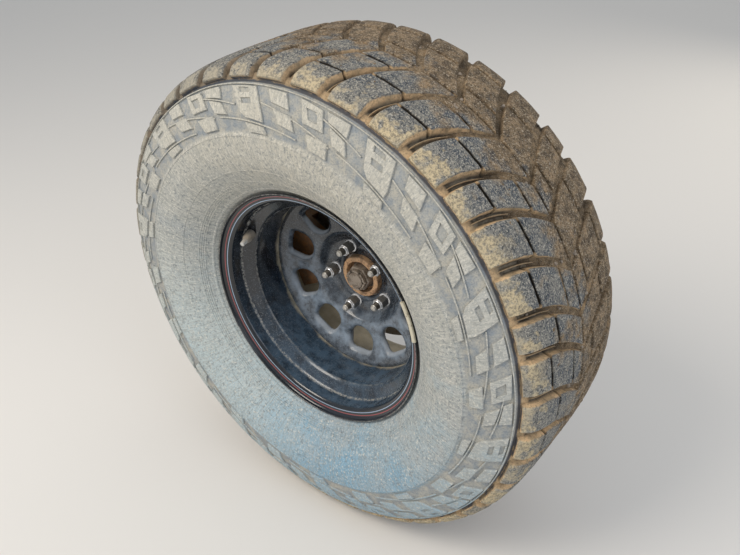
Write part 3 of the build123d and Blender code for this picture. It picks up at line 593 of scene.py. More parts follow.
def motif():
    """All blocks and lines of the motif, wrapped on ten times on each sidewall."""
    bm, layer = tyre_shape()
    meshes = []
    for outline, sunk in MOTIF_BLOCKS:
        shape = block([(t * DEG_MM, s) for t, s in outline], MOTIF_FOOT, 0.0, 0.8, 0.5)
        for square in sunk:
            sink(shape, [(t * DEG_MM, s) for t, s in square], SUNK)
        meshes.append(diced(shape, BLOCK_CUT))
    for p, q in MOTIF_LINES:
        strip = block(bar(p, q, LINE_WIDTH), MOTIF_FOOT, LINE_TOP, 0.5, 0.3)
        meshes.append(diced(strip, BLOCK_CUT))

    for side in (1, -1):
        for k in range(int(360 / MOTIF_STEP)):
            for mesh in meshes:
                wrap_on(bm, layer, mesh, lambda a, s, k=k: a / DEG_MM + k * MOTIF_STEP, side)
    return bm


sidewall_blocks = motif()
print("motif", len(sidewall_blocks.faces), "faces")

# %% [markdown]
# ## Mud and gravel
# Dried mud fills the voids of the inner half of the tread, flat clods of it are trodden on to
# the lugs, and small stones stick in it. The mud is one closed strip whose height wanders with a
# noise. Clods and stones are small balls, each squashed its own way and pressed half in. A
# particle system could strew them, but a seeded loop puts each one where mud would hold it.

# %% Mud and gravel
MUD_FROM, MUD_TO = 262.0, 488.0
MUD_FOOT = -17.0
MUD_BODY = 10.5  # its rise from the foot in the middle of the tread
MUD_COLUMNS = 41
MUD_STEP = 5.65


def mud_lift(theta, s):
    """Height of the mud's top: deepest in the middle of the tread, lumpy everywhere."""
    spot = Vector(on_tyre(theta, s, 0.0))
    lumps = (noise.noise(spot * 0.022) * 6.0 + noise.noise(spot * 0.09) * 2.2
             + noise.noise(spot * 0.25))
    body = eased(s, MUD_FROM, 318, 0.0, MUD_BODY) - eased(s, 440, MUD_TO, 0.0, MUD_BODY)
    return min(MUD_FOOT + 1.0 + body + lumps, -2.0)


def mud():
    """Closed strip of mud round the tread; its upper side is then lifted to its own height."""
    stops = [MUD_FROM + MUD_STEP * k for k in range(MUD_COLUMNS)]
    outline = [(s, 1.0) for s in stops] + [(s, 0.0) for s in stops[::-4]]
    bm, layer = tyre_shape()
    verts = []
    for s, top in outline:
        verts.append(bm.verts.new(on_tyre(0.0, s, MUD_FOOT + top)))
        verts[-1][layer] = (top, s, 0.0)
    turn_round(bm, verts, 3 * TURNS)
    for v in bm.verts:
        top, s, theta = v[layer].x, v[layer].y, degrees(atan2(v.co.z, v.co.x))
        if top:
            v.co = on_tyre(theta, s, mud_lift(theta, s))
    return bm


def stone(bm, pick, place, size):
    """One small stone at a place, squashed and turned its own way."""
    verts = bmesh.ops.create_icosphere(bm, subdivisions=1, radius=size)["verts"]
    bmesh.ops.scale(bm, vec=[pick.uniform(0.6, 1.2) for _ in range(3)], verts=verts)
    turn = Matrix.Rotation(pick.uniform(0, pi), 3, Vector([pick.uniform(-1, 1) for _ in range(3)]))
    bmesh.ops.rotate(bm, matrix=turn, verts=verts)
    bmesh.ops.translate(bm, vec=place, verts=verts)


def lug_spot(pick, sides):
    """Direction and arc length of a random spot on a lug's top."""
    start, pitch = pick.choice(PITCHES)
    s = pick.choice((pick.uniform(266, 278), pick.uniform(288, 313), pick.uniform(324, 343)))
    theta = on_pitch(start, pitch, pick.uniform(14, 49), s)
    return theta, s if pick.choice(sides) > 0 else 2 * MIDDLE_S - s


def gravel(in_voids, on_lugs, seed):
    """Stones half sunk in the mud and the outer voids, and some stuck on the lugs' tops."""
    pick = Random(seed)
    bm = bmesh.new()
    for _ in range(in_voids):
        theta, s = pick.uniform(0, 360), pick.triangular(215, MUD_TO - 20, 345)
        size = pick.choice((1.3, 1.6, 2.0, 2.6, 3.2))
        lift = mud_lift(theta, s) if s > MUD_FROM + 20 else -floor_depth(s)
        stone(bm, pick, on_tyre(theta, s, lift + 0.3 * size), size)
    for _ in range(on_lugs):
        theta, s = lug_spot(pick, (1, 1, -1))
        size = pick.choice((0.8, 1.1, 1.5, 2.0))
        stone(bm, pick, on_tyre(theta, s, -0.6 * size), size)
    return bm


def clods(count, seed):
    """Flat lumps of mud trodden on to the lugs' tops, most of them inboard."""
    pick = Random(seed)
    bm = bmesh.new()
    for _ in range(count):
        theta, s = lug_spot(pick, (1, -1, -1, -1))
        size = pick.uniform(4.0, 9.0)
        lump = bmesh.ops.create_icosphere(bm, subdivisions=2, radius=size)["verts"]
        start = Vector((pick.uniform(0, 99), 0, 0))
        for v in lump:
            v.co *= 0.8 + 0.6 * noise.noise(v.co * 0.25 + start)
        bmesh.ops.scale(bm, vec=(1, pick.uniform(0.6, 1.0), 0.28), verts=lump)
        up = Vector((cos(radians(theta)), 0, sin(radians(theta))))
        bmesh.ops.rotate(bm, matrix=up.to_track_quat("Z", "Y").to_matrix(), verts=lump)
        bmesh.ops.translate(bm, vec=on_tyre(theta, s, -0.22 * size), verts=lump)
    return bm


print("mud at the middle of the tread", round(mud_lift(0.0, MIDDLE_S), 1), "mm from the lugs' tops")

# %% [markdown]
# ## Silt and mud
# The sidewall wears a dry film of pale silt, with pitted rubber showing through it in faint
# streaks; painted sky shade makes it bluer towards the bottom, and painted light makes it warmer
# at the top and paler at the lower left. Dried mud is brown, with rusty patches and pale and dark
# grit. A photograph wrapped on could carry both, but it would repeat and belong to one tyre.
# Noises read in millimetres give new marks all over at the size of the real ones.

# %% Silt and mud
SHADED_SIDE = (-0.9, 0.0, 0.45)  # towards this side of the wheel the voids' walls and the lugs' dust are painted darker and greyer as shade


def shifted(node, value, cloud, spread):
    """A value moved up or down by up to a spread, so that a border wanders."""
    return node("plus", value, (cloud, 0.3, 0.7, -spread, spread))


def streaks(node, radius, aim, count, length):
    """Noise that changes quickly round the wheel and slowly along its radius."""
    slow = node("times", radius, 1 / length, use_clamp=False)
    spot = node("moved", node("scaled", aim, (count,) * 3), node("vector", 0.0, slow))
    return node("noise", spot, 1.0, 4.0, 0.65, 0.6)


def towards(node, aim, way, low, high, most):
    """How far a spot lies on the side of the wheel that a direction points to."""
    return node("level", node("along", aim, way), low, high, 0.0, most)


def side_film_and_light(node, place, radius, aim, high, fine, cloud):
    """Sidewall colour: silt wiped in streaks, pitted and gritty, under painted light and shade."""
    wiped, thin, wide = (streaks(node, radius, aim, count, length)
                         for count, length in ((130.0, 22.0), (230.0, 12.0), (90.0, 30.0)))
    pits = node("noise", place, 1 / 4.5, 5, 0.75)
    return coated(
        node, "#A6AAA7",
        ((wiped, 0.42, 0.58), "#C8C8C1"), ((cloud, 0.46, 0.70, 0.0, 0.55), "#A3ADB4"),
        # painted shade: bluer towards the bottom
        ((shifted(node, high, cloud, 120), 0, -330), "#86AEC6"),
        # painted light: paler towards the lower left, warmer towards the top
        (towards(node, aim, (-0.8, 0.0, -0.6), 0.55, 1.0, 0.6), "#CDD8D6"),
        (towards(node, aim, (0.1, 0.0, 1.0), 0.3, 1.0, 0.4), "#D8CDB6"),
        ((thin, 0.50, 0.62, 0.0, 0.5), "#858A8C"), ((wide, 0.50, 0.64, 0.0, 0.4), "#94958F"),
        ((pits, 0.52, 0.62, 0.0, 0.75), "#7C8285"), ((fine, 0.54, 0.62, 0.0, 0.7), "#DDDACF"))


def mud_colour(node, blotch, fine, speck):
    """Colour of dried mud: brown, rusty in places, full of pale and dark grit."""
    return coated(
        node, "#584A38",
        ((blotch, 0.40, 0.60), "#968063"), ((blotch, 0.60, 0.70, 0.0, 0.5), "#9C7A54"),
        ((fine, 0.50, 0.60, 0.0, 0.8), "#3D3227"), ((speck, 0.56, 0.64, 0.0, 0.85), "#C2B49D"))


# the side of the wheel where painted shade makes the voids and the lugs' dust greyer
print("greyer painted shade at", round(degrees(atan2(SHADED_SIDE[2], SHADED_SIDE[0]))), "degrees round the wheel")

# %% [markdown]
# ## Rubber
# One recipe serves the whole tyre, because the mould, the wear and the dirt don't stop where a
# block does. It reads the arc length and the height that each vertex keeps. The lugs' tops are
# scrubbed grey with dust on their outer ends; the walls of the voids are stained tan, and mud has
# smeared the inner half. Painted shade darkens the voids and their mud towards the floor, the
# thin grooves, the ground between the motif's blocks and one side of the wheel, and a painted
# shadow runs along the step at the lugs' shoulder ends. A material for each part would show its
# borders.

# %% Rubber
def lug_colour(node, aim, s, cloud, blotch, fine, speck):
    """Colour of a lug's top: scrubbed grey rubber, speckled, under cream dust at its outer end."""
    worn = coated(node, "#555B61", ((blotch, 0.40, 0.58), "#85837C"),
                  ((fine, 0.50, 0.58, 0.0, 0.85), "#363B41"),
                  ((speck, 0.53, 0.60, 0.0, 0.85), "#BDB7A9"))
    # the dust turns grey in random patches, and towards the shaded side as painted shade
    grey = node("most", (cloud, 0.50, 0.60, 0.0, 0.6), towards(node, aim, SHADED_SIDE, 0.2, 0.8, 0.7))
    dust = coated(node, "#D2C09B", ((fine, 0.46, 0.56), "#9A8F79"), (grey, "#9B9B95"))
    border = shifted(node, shifted(node, s, blotch, 26), cloud, 26)
    dusty = node("times", (border, 221, 240, 0.88, 0.0), (cloud, 0.36, 0.44, 0.25, 1.0))
    return coated(node, worn, (dusty, dust))


def wall_colour(node, aim, across, s, lift, blotch, fine):
    """Colour below the lugs' tops: tan silt, with painted shade in the depths, the grooves and the
    step.
    """
    stain = coated(node, "#DCBC92", ((blotch, 0.42, 0.64), "#A69274"),
                   ((fine, 0.50, 0.62, 0.0, 0.5), "#6E604E"),
                   # painted shade: darker and greyer towards the shaded side of the wheel
                   (towards(node, aim, SHADED_SIDE, 0.2, 0.8, 0.85), "#66625C"))
    # painted shade: the voids' walls darken towards their floors
    deep = coated(node, "#5A5144", ((blotch, 0.42, 0.58), "#857B6A"))
    from_middle = node("size", node("minus", across, PITCH_MM / 2))
    # painted shade: the walls of the thin grooves are dark
    groove_shade = node("times", (from_middle, 19, 22, 1.0, 0.0), (s, 215, 225))
    border = shifted(node, s, blotch, 2)
    # painted shadow: a dark blue line along the step at the lugs' shoulder ends
    under_lug = node("times", (border, 205, 207, 0.9, 0.0), (from_middle, 18, 26, 1.0, 0.0))
    step_shadow = node("most", (border, 203.5, 205, 0.9, 0.0), under_lug)
    step_shadow = node("times", step_shadow, (lift, -3.6, -2.6, 1.0, 0.0))
    return coated(node, stain, ((shifted(node, lift, blotch, 2.0), -13.0, -7.5, 1.0, 0.0), deep),
                  (step_shadow, "#454E5A"), (groove_shade, "#2E2924"))


def rubber(name):
    """Tyre rubber, read from arc length and height."""
    # a pale wiped sidewall, gritty grey lugs and tan voids: black rubber seen through what it
    # drove in; real grit is under 1 mm and real streaks are hair-thin, so both are drawn a few
    # millimetres across, coarse enough to show
    material, node, place = start_material(name)
    across, s, lift = node("parts", node("stored", attribute_name="where")["Vector"])
    radius, _, aim, high = wheel_place(node, place)
    fine, speck = node("noise", place, 1 / 3.6, 4, 0.75), node("noise", place, 1 / 2.3, 3, 0.7)
    cloud, blotch = node("noise", place, 1 / 60, 5, 0.6), node("noise", place, 1 / 15, 6, 0.65)
    mud_shade = mud_colour(node, blotch, fine, speck)
    near = node("minus", MIDDLE_S, node("size", node("minus", s, MIDDLE_S)))
    # painted shade: the ground between the motif's blocks is darker and bluer
    recess = node("times", (lift, -2.8, -1.2, 1.0, 0.0), (near, 126, 132))
    recess_shade = coated(node, "#949BA0", ((blotch, 0.38, 0.62), "#B9B6AB"),
                  ((speck, 0.50, 0.60, 0.0, 0.45), "#737B83"))
    splashed = node("times", (s, 470, 480), (shifted(node, near, cloud, 90), 60, 200, 0.30, 0.92))
    # painted light: the motif's raised faces are paler than the rest of the sidewall
    side_wall = coated(node, side_film_and_light(node, place, radius, aim, high, fine, cloud),
                       ((near, 128, 133, 0.0, 0.22), "#D0CCBE"), (recess, recess_shade),
                       (splashed, mud_shade))
    # painted shade: the mud darkens with depth in the voids
    caked_and_shaded = coated(node, mud_shade, ((lift, -11.0, -2.5, 0.75, 0.0), "#352D25"))
    lug = coated(node, lug_colour(node, aim, s, cloud, blotch, fine, speck),
                 ((shifted(node, lift, blotch, 1.4), -2.8, -0.9, 1.0, 0.0),
                  wall_colour(node, aim, across, near, lift, blotch, fine)),
                 ((shifted(node, s, cloud, 80), 296, 350, 0.0, 0.92), caked_and_shaded))
    skin = coated(node, side_wall, ((near, 199.5, 201.0), lug))
    height = node("plus", fine, (speck, 0.3, 0.7, 0.0, 0.5))
    return end_material(material, node, skin, (fine, 0.3, 0.7, 0.78, 0.95),
                        (height, 0.7, 1.4), {"Specular IOR Level": 0.3})


def earth(name, pale):
    """Dried mud, or the pale stones in it."""
    # a crumbly brown that swallows light, with painted shade darkening it in the depth of a void;
    # the stones are pale specks
    material, node, place = start_material(name)
    fine, speck = node("noise", place, 1 / 2.4, 5, 0.7), node("noise", place, 1 / 1.2, 3, 0.65)
    colour = mud_colour(node, node("noise", place, 1 / 15, 6, 0.65), fine, speck)
    if pale:
        tint = node("noise", place, 1 / 5, 2, 0.55)
        stone_shade = coated(node, "#B9AFA2", ((tint, 0.35, 0.65), "#857B70"))
        colour = coated(node, colour, (0.75, stone_shade))
    else:
        radius = wheel_place(node, place)[0]
        # painted shade: darker deeper in the voids
        colour = coated(node, colour, ((radius, 399.0, 411.0, 0.7, 0.0), "#352D25"))
    return end_material(material, node, colour, 0.92, (fine, 0.9, 1.2),
                        {"Specular IOR Level": 0.25})


dusty_rubber_painted_light = rubber("tyre rubber, moulded, silted and muddy")
dried_earth_depth_shaded = earth("mud, dried in the voids, painted darker with depth", False)
finish_piece("tyre_carcass", tyre_carcass, "wheel", dusty_rubber_painted_light, ("tyre",))
finish_piece("tread_blocks", tread_blocks, "wheel", dusty_rubber_painted_light, sharp_deg=30)
finish_piece("sidewall_blocks", sidewall_blocks, "wheel", dusty_rubber_painted_light, sharp_deg=30)
finish_piece("dried_mud", mud(), "wheel", dried_earth_depth_shaded)
finish_piece("mud_clods", clods(220, 11), "wheel", dried_earth_depth_shaded)
finish_piece("gravel", gravel(620, 420, 7), "wheel",
             earth("small stones, dusty", True))

# %% [markdown]
# ## Steel, iron, paint and plating
# Most of the rest is metal that differs in few things: its own colour, what covers it in
# patches, how it shines and how dusty it is. Each could have its own nodes, but those would
# repeat thirteen times, so one recipe makes them all from a table. Dust lies where a face looks
# up and where the noise lets it. The real casting grain and dust are finer than a millimetre,
# and are drawn about that coarse so that they show.

# %% Metals
DUST = "#9A8F7E"


def upward(node):
    """How far a face looks up when the piece is at rest, from -1 to 1."""
    return node("parts", node("coords")["Normal"])["Z"]


def aged(name, base, patch, share, metallic, shine, dust, cast):
    """Metal or paint in two colours: share is how much of it the second one covers."""
    material, node, place = start_material(name)
    fine = node("noise", place, 1 / 1.1, 3, 0.6)
    rust = node("level", node("noise", place, 1 / 9, 6, 0.7), 0.62 - 0.25 * share,
                0.70 - 0.25 * share)
    up_facing = node("times", (upward(node), -0.5, 0.9, 0.25, 1.0),
                 (node("noise", place, 1 / 24, 5, 0.65), 0.36, 0.68))
    dirt = node("times", up_facing, dust)
    body = coated(node, base, ((fine, 0.35, 0.75, 0.0, 0.25), patch), (rust, patch), (dirt, DUST))
    dull = node("most", rust, dirt)
    metal = node("level", dull, 0.0, 0.6, metallic, 0.0) if metallic else 0.0
    return end_material(material, node, body, (dull, 0.0, 1.0, shine, 0.85),
                        (fine, cast, 0.5), {"Metallic": metal})


METALS = {  # slot: name, colour, patches, their share, metallic, roughness, dust, casting grain
    # dull brown, patched darker: bare forged steel after years of rain
    "hub_steel": (
        "forged hub steel, brown rust", "#D2A87E", "#8E6C52", 0.55, 0.0, 0.75, 0.5, 0.8),
    # half-shiny grey-brown: machined faces under a film of grease and grit
    "shaft_steel": (
        "machined steel under old grease", "#A3978B", "#665A50", 0.5, 0.4, 0.45, 0.5, 0.9),
    # grey with a soft shine where the pads rub, rust where they don't reach
    "disc_iron": (
        "turned iron, rubbed and rust-edged", "#8C8984", "#6D4A33", 0.4, 0.9, 0.35, 0.2, 0.15),
    # coarse grain and brown patches: sand-cast iron, never painted
    "knuckle_iron": (
        "sand-cast iron, brown with age", "#4A443D", "#6B4E38", 0.6, 0.0, 0.7, 0.6, 0.8),
    # orange-brown and rough: rust has eaten through the paint
    "caliper_iron": (
        "cast iron, rusted through its paint", "#6B4A2C", "#8A5C30", 0.6, 0.0, 0.72, 0.5, 0.8),
    # smooth near-black sheet with brown edges
    "shield_steel": (
        "pressed sheet, thin black paint", "#2B2A29", "#5C432F", 0.4, 0.0, 0.5, 0.6, 0.1),
    # matt dark grey with paler flecks, as pressed friction lining has
    "lining": (
        "bonded friction lining", "#3A3734", "#55504A", 0.5, 0.0, 0.85, 0.2, 0.7),
    # small warm highlights: zinc plate that has yellowed
    "fastener": (
        "rolled steel, yellowed zinc plate", "#A39D8C", "#6B5B45", 0.4, 0.9, 0.35, 0.4, 0.1),
    # clean grey shine on machined steel, dulled where dust sticks to oil
    "joint_steel": (
        "machined steel, oiled", "#8B8882", "#5A4A3B", 0.4, 0.9, 0.32, 0.4, 0.15),
    # matt grey-tan: the rubber's black hides under dust
    "valve_rubber": (
        "moulded valve rubber, dusty", "#77716A", "#8F8A82", 0.7, 0.0, 0.7, 0.9, 0.2),
    # pale scuffed cap that stands out of the dark barrel
    "valve_plastic": (
        "moulded cap, scuffed", "#949A9B", "#D0D2D0", 0.6, 0.0, 0.55, 0.9, 0.1),
    # cream coating with a soft shine, the palest thing on the rim
    "weight_zinc": (
        "cast zinc, coated cream", "#D8D2BD", "#A39A85", 0.3, 0.0, 0.5, 0.3, 0.3),
    # satin black paint that dulls to brown where mud dried on it
    "yoke_steel": (
        "cast steel, satin black paint", "#26262A", "#5A4B3D", 0.35, 0.0, 0.45, 0.7, 0.6),
}
finish_of = {slot: aged(*recipe) for slot, recipe in METALS.items()}
slot_of = {entry["node"]: entry["material_slot"] for entry in frame["record"]["subparts"]}
for node, solid in frame["nodes"].items():
    if slot_of[node] in finish_of:
        if not solid.material_slots:
            solid.data.materials.append(None)
        for material_slot in solid.material_slots:
            material_slot.material = finish_of[slot_of[node]]
print(len(finish_of), "metal and plastic finishes on", len(frame["nodes"]), "nodes")

# %% [markdown]
# ## Wheel paint
# Gloss black over the whole wheel, with a blue-grey veil on the lower half and on faces that
# look up, which is silt and a painted reflection of the sky, dust in the bends, a painted
# highlight of the sky with some dust on the windows' lips, tan silt on the barrel behind the disc,
# and on the rim's flange two thin lines painted by holding a brush to the turning wheel: red
# outside, pale blue inside.
# The lines are read from the radius, so they stay sharp at any distance, where an image would
# blur. The lips are read from an attribute that the disc's shape carries.

# %% Wheel paint
RED_LINE_R = 199.6
PALE_LINE_R = 194.8
LINE_HALF = 0.4
LINE_BLUR = 0.25


def near_bend(node, radius, out, bend, reach):
    """1 at a bend of the section, given by its radius and its distance from the middle plane."""
    away = node("apart", node("vector", radius, out), (*bend, 0.0))
    return node("level", away, 0.4 * reach, reach, 1.0, 0.0)


def wheel_paint(name, silt_and_sheen_share, up_facing, silt_and_sheen_tone, bends, lines):
    """Gloss paint: silt and painted sky sheen, more on faces that look up, and dust along bends."""
    # deep black with sharp highlights where it is clean, blue-grey and dull where silt has dried
    # and where a reflection of the sky is painted on; real dust is far finer than these 2 to 3 mm
    # specks, which are as fine as shows
    material, node, place = start_material(name)
    radius, out, _, high = wheel_place(node, place)
    cloud, fine = node("noise", place, 1 / 30, 4, 0.6), node("noise", place, 1 / 3, 5, 0.7)
    patch, grit = node("noise", place, 1 / 20, 6, 0.66), node("noise", place, 1 / 1.9, 3, 0.6)
    # silt and a painted reflection of the sky: more of it lower down, less on the pad and inside
    # the edge
    silt_and_sheen = node("level", patch, 0.38, 0.62, 0.22, 1.0)
    for share in ((shifted(node, high, cloud, 40), 90, -70, 0.10, 1.0),
                  (radius, 74, 92, 0.35, 1.0),
                  (radius, 146, 158, 1.0, 0.45), silt_and_sheen_share):
        silt_and_sheen = node("times", silt_and_sheen, share)
    # faces that look up: dust and a painted reflection of the sky
    lit = node("times", (upward(node), 0.0, 0.8, 0.0, up_facing), (patch, 0.36, 0.62, 0.3, 1.0))
    flange = node("level", out, 97, 100, 1.0, 0.12)
    silt_and_sheen = node("times", node("most", silt_and_sheen, lit), flange)
    dirt = node("times", silt_and_sheen, 0.4)
    coats = [((cloud, 0.35, 0.65), "#10151E"), (silt_and_sheen, silt_and_sheen_tone)]
    rubbed = node("noise", place, 1 / 6, 5, 0.75)
    for bend, reach, share in bends:
        band = near_bend(node, shifted(node, radius, fine, 0.5 * reach), out, bend, reach)
        band = node("times", band, (rubbed, 0.44, 0.60, 0.05, share))
        coats.append((band, "#A09E97"))
        dirt = node("most", dirt, band)
    if lines:
        outer_face = node("level", out, 99.0, 100.0)
        for middle, code in ((RED_LINE_R, "#A8484D"), (PALE_LINE_R, "#A0B6CF")):
            away = node("size", node("minus", radius, middle))
            stripe = node("level", away, LINE_HALF, LINE_HALF + LINE_BLUR, 1.0, 0.0)
            coats.append((node("times", stripe, outer_face), code))
        behind = node("times", (shifted(node, out, cloud, 6), 14, 6), 0.92)
        coats.append((behind, coated(node, "#B9AF98", ((cloud, 0.35, 0.65), "#9A917A"))))
        dirt = node("most", dirt, behind)
    # painted highlight of the sky, with some dust, on the windows' lips where they face up
    lip = node("times", node("stored", attribute_name="lip")["Fac"],
               (upward(node), -0.1, 0.5, 0.0, 0.85))
    speckle = node("times", (grit, 0.58, 0.66, 0.0, 0.55), flange)
    colour = coated(node, "#08090C", *coats, (lip, "#A9B2BC"), (speckle, "#858B92"))
    rough = node("plus", (fine, 0.45, 0.75, 0.12, 0.30), node("most", dirt, lip), use_clamp=True)
    return end_material(material, node, colour, rough, (fine, 0.12, 0.4),
                        {"Coat Weight": 0.4, "Coat Roughness": 0.08})


DISC_BENDS = (((162.5, -2.0), 4.5, 1.0), ((71.0, -31.0), 3.0, 0.5))  # place, reach, share
RIM_BENDS = (((206.5, 113.5), 1.6, 0.9), ((187.5, 78.0), 3.4, 0.95), ((165.0, 63.5), 3.0, 0.8))
disc_paint = wheel_paint("gloss black wheel paint, dusty, painted sky sheen", 1.0, 0.75, "#8796A6",
                         DISC_BENDS, lines=False)
rim_paint = wheel_paint("gloss black rim paint with two painted lines", 0.16, 0.5, "#5D7A94",
                        RIM_BENDS, lines=True)
print("paint:", disc_paint.name, "and", rim_paint.name)

# %% [markdown]
# ## Rim
# A rolled steel strip, 3 mm thick: bead seats, drop centre and two curled flanges. Its bends are
# rounded on the line before the thickness is given, as a roller does it. A Solidify modifier
# could give the thickness, but it leaves square ends, and the flanges end in a rounded edge.

# %% Rim
rim_low, rim_high = box_mm("rim")
LIP_R = rim_high.x
RIM_T = 3.0
SEAT_R = 189.0  # middle of the strip at the bead seat and at the drop centre
WELL_R = 166.5
ROLLED_BEND = 7.0


def rounded_line(points, bend, steps=5):
    """A line of straight runs with each corner rounded off over a bend length."""
    corners = [Vector(p) for p in points]
    line = [corners[0]]
    for p, q, r in zip(corners, corners[1:], corners[2:]):
        start = q + (p - q).normalized() * min(bend, 0.45 * (p - q).length)
        end = q + (r - q).normalized() * min(bend, 0.45 * (r - q).length)
        line += [start.lerp(q, k / steps).lerp(q.lerp(end, k / steps), k / steps)
                 for k in range(steps + 1)]
    return [tuple(p) for p in line + [corners[-1]]]


def sheet_outline(line, thickness):
    """Closed outline of sheet metal along a middle line, with rounded edges at its two ends."""
    sides = ([], [])
    for i, p in enumerate(line):
        before, after = line[max(i - 1, 0)], line[min(i + 1, len(line) - 1)]
        along = Vector((after[0] - before[0], after[1] - before[1])).normalized()
        for side, off in zip(sides, (thickness / 2, -thickness / 2)):
            side.append((p[0] - along.y * off, p[1] + along.x * off))
    ends = []
    for end, inner in ((line[-1], line[-2]), (line[0], line[1])):
        along = Vector((end[0] - inner[0], end[1] - inner[1])).normalized()
        turns = [radians(a) for a in (60, 30, 0, -30, -60)]
        ends.append([(end[0] + (along.x * cos(a) - along.y * sin(a)) * thickness / 2,
                      end[1] + (along.y * cos(a) + along.x * sin(a)) * thickness / 2)
                     for a in turns])
    return sides[0] + ends[0] + sides[1][::-1] + ends[1]


def rim():
    """The rolled strip, turned: the inboard flange mirrors the outboard one."""
    flange = [(LIP_R - 1.5, 1.5), (LIP_R - 2.5, 6.0), (LIP_R - 7.0, 9.5), (SEAT_R + 5, 10.5),
              (SEAT_R, 14.5)]
    outboard = [(r, rim_low.y + y) for r, y in flange]
    inboard = [(r, rim_high.y - y) for r, y in reversed(flange)]
    well = [(SEAT_R, rim_low.y + 36), (WELL_R, rim_low.y + 50), (WELL_R, rim_low.y + 128),
            (SEAT_R, rim_low.y + 146)]
    return spun(sheet_outline(rounded_line(outboard + well + inboard, ROLLED_BEND), RIM_T))


finish_piece("rim_dressed", rim(), "wheel", rim_paint, ("rim",), sharp_deg=50)

# %% [markdown]
# ## Dish and windows
# The pressed disc rises from its flat pad to its edge and has ten windows, flat outwards and
# domed towards the hub. Both are written as functions here: the dish as a line with rounded
# bends, and a window as its reach from its middle in every direction. Curve objects could hold
# them too, but a function can be read at any radius or angle.

# %% Dish and windows
disc_high = box_mm("wheel_disc")[1]
DISC_T = 4.5
PAD_Y = disc_high.y - DISC_T
EDGE_R = disc_high.x - DISC_T / 2
BORE_R = 41.5
PAD_R = 70.0
DISC_RISE = 35.0
WINDOWS = 10
WINDOW_R = 123.0
WINDOW_HALF_W = 24.4
WINDOW_OUT, WINDOW_IN = 21.6, 24.0  # from its middle to its base and to the top of its dome
FIRST_WINDOW_DEG = 128.5
HALF_STEP = 180 / WINDOWS
LIP_SHOWS = 5.0  # how far the painted highlight and the dust on a window's lip reach out from its edge
SKIRT = 17.0  # the disc's edge, turned inboard to its weld
WINDOW_STEPS = 48
SECTOR_IN, SECTOR_OUT = 91.0, 156.0
INNER_STOPS = (BORE_R, 56.0, 68.0, 71.0, 74.0, 77.0, 80.0, 83.0, 86.0, SECTOR_IN)
OUTER_STOPS = (SECTOR_OUT, 158.5, 160.5, 162.0, EDGE_R + DISC_T / 2 - 0.2)
COLLAR = (  # distance out from the window's edge, drop inboard
    (-0.6, 10.0), (-0.3, 7.0), (0.3, 4.6), (1.4, 2.7), (3.0, 1.4), (4.8, 0.5), (6.6, 0.0),
)
DISH_SHAPE = (  # shares of the way from the pad to the edge and of the rise
    (0.09, 0.14), (0.16, 0.50), (0.30, 0.56), (0.65, 0.65), (0.85, 0.85), (0.97, 1.00),
    (1.00, 0.97),
)
DISH = rounded_line([(BORE_R, 0.0), (PAD_R, 0.0)] + [
    (PAD_R + a * (EDGE_R - PAD_R), -b * DISC_RISE) for a, b in DISH_SHAPE], 6.0)


def dish_y(r):
    """The outer face's y at a radius."""
    for (r0, y0), (r1, y1) in zip(DISH, DISH[1:]):
        if r <= r1:
            return PAD_Y + y0 + (y1 - y0) * max(r - r0, 0.0) / max(r1 - r0, 1e-6)
    return PAD_Y + DISH[-1][1]


def window_reach(phi):
    """From the window's middle to its edge: a flat base outwards, a dome towards the hub."""
    power, deep = (5.0, WINDOW_OUT) if cos(phi) > 0 else (2.1, WINDOW_IN)
    along, aside = abs(cos(phi)) / deep, abs(sin(phi)) / WINDOW_HALF_W
    return (along ** power + aside ** power) ** (-1 / power)


def sector_reach(phi):
    """From the window's middle to the edge of its tenth of the disc."""
    dx, dz = cos(phi), sin(phi)
    along = WINDOW_R * dx
    hits = [-along + (along ** 2 - WINDOW_R ** 2 + SECTOR_OUT ** 2) ** 0.5]
    if along ** 2 - WINDOW_R ** 2 + SECTOR_IN ** 2 > 0 and dx < 0:
        hits.append(-along - (along ** 2 - WINDOW_R ** 2 + SECTOR_IN ** 2) ** 0.5)
    for side in (1, -1):
        beta = radians(HALF_STEP) * side
        crossing = dz * cos(beta) - dx * sin(beta)
        if crossing * side > 1e-9:
            hits.append(WINDOW_R * sin(beta) / crossing)
    return min(hits)


print("windows", 2 * WINDOW_HALF_W, "mm wide,", WINDOW_OUT + WINDOW_IN, "mm high")

# %% [markdown]
# ## Disc
# One tenth of the disc is a flat grid whose columns run round the window and whose rows run out
# from the window's edge to the sector's own edge. The rows near the window are dropped to form
# the collar that the press turns inboard. Cutting holes from a finished disc would leave long
# thin faces that shade badly. The vertices near a window also keep how near they are, for the
# painted highlight and the dust on its lip.

# %% Disc
def grid_sheet(bm, columns, rows, place_at):
    """Adds a grid, closed where its places meet, with each vertex put by column and row."""
    count = len(bm.verts)
    bmesh.ops.create_grid(bm, x_segments=columns, y_segments=rows, size=1.0)
    bm.verts.ensure_lookup_table()
    for v in bm.verts[count:]:
        v.co = place_at(round((v.co.x + 1) / 2 * columns), round((v.co.y + 1) / 2 * rows))


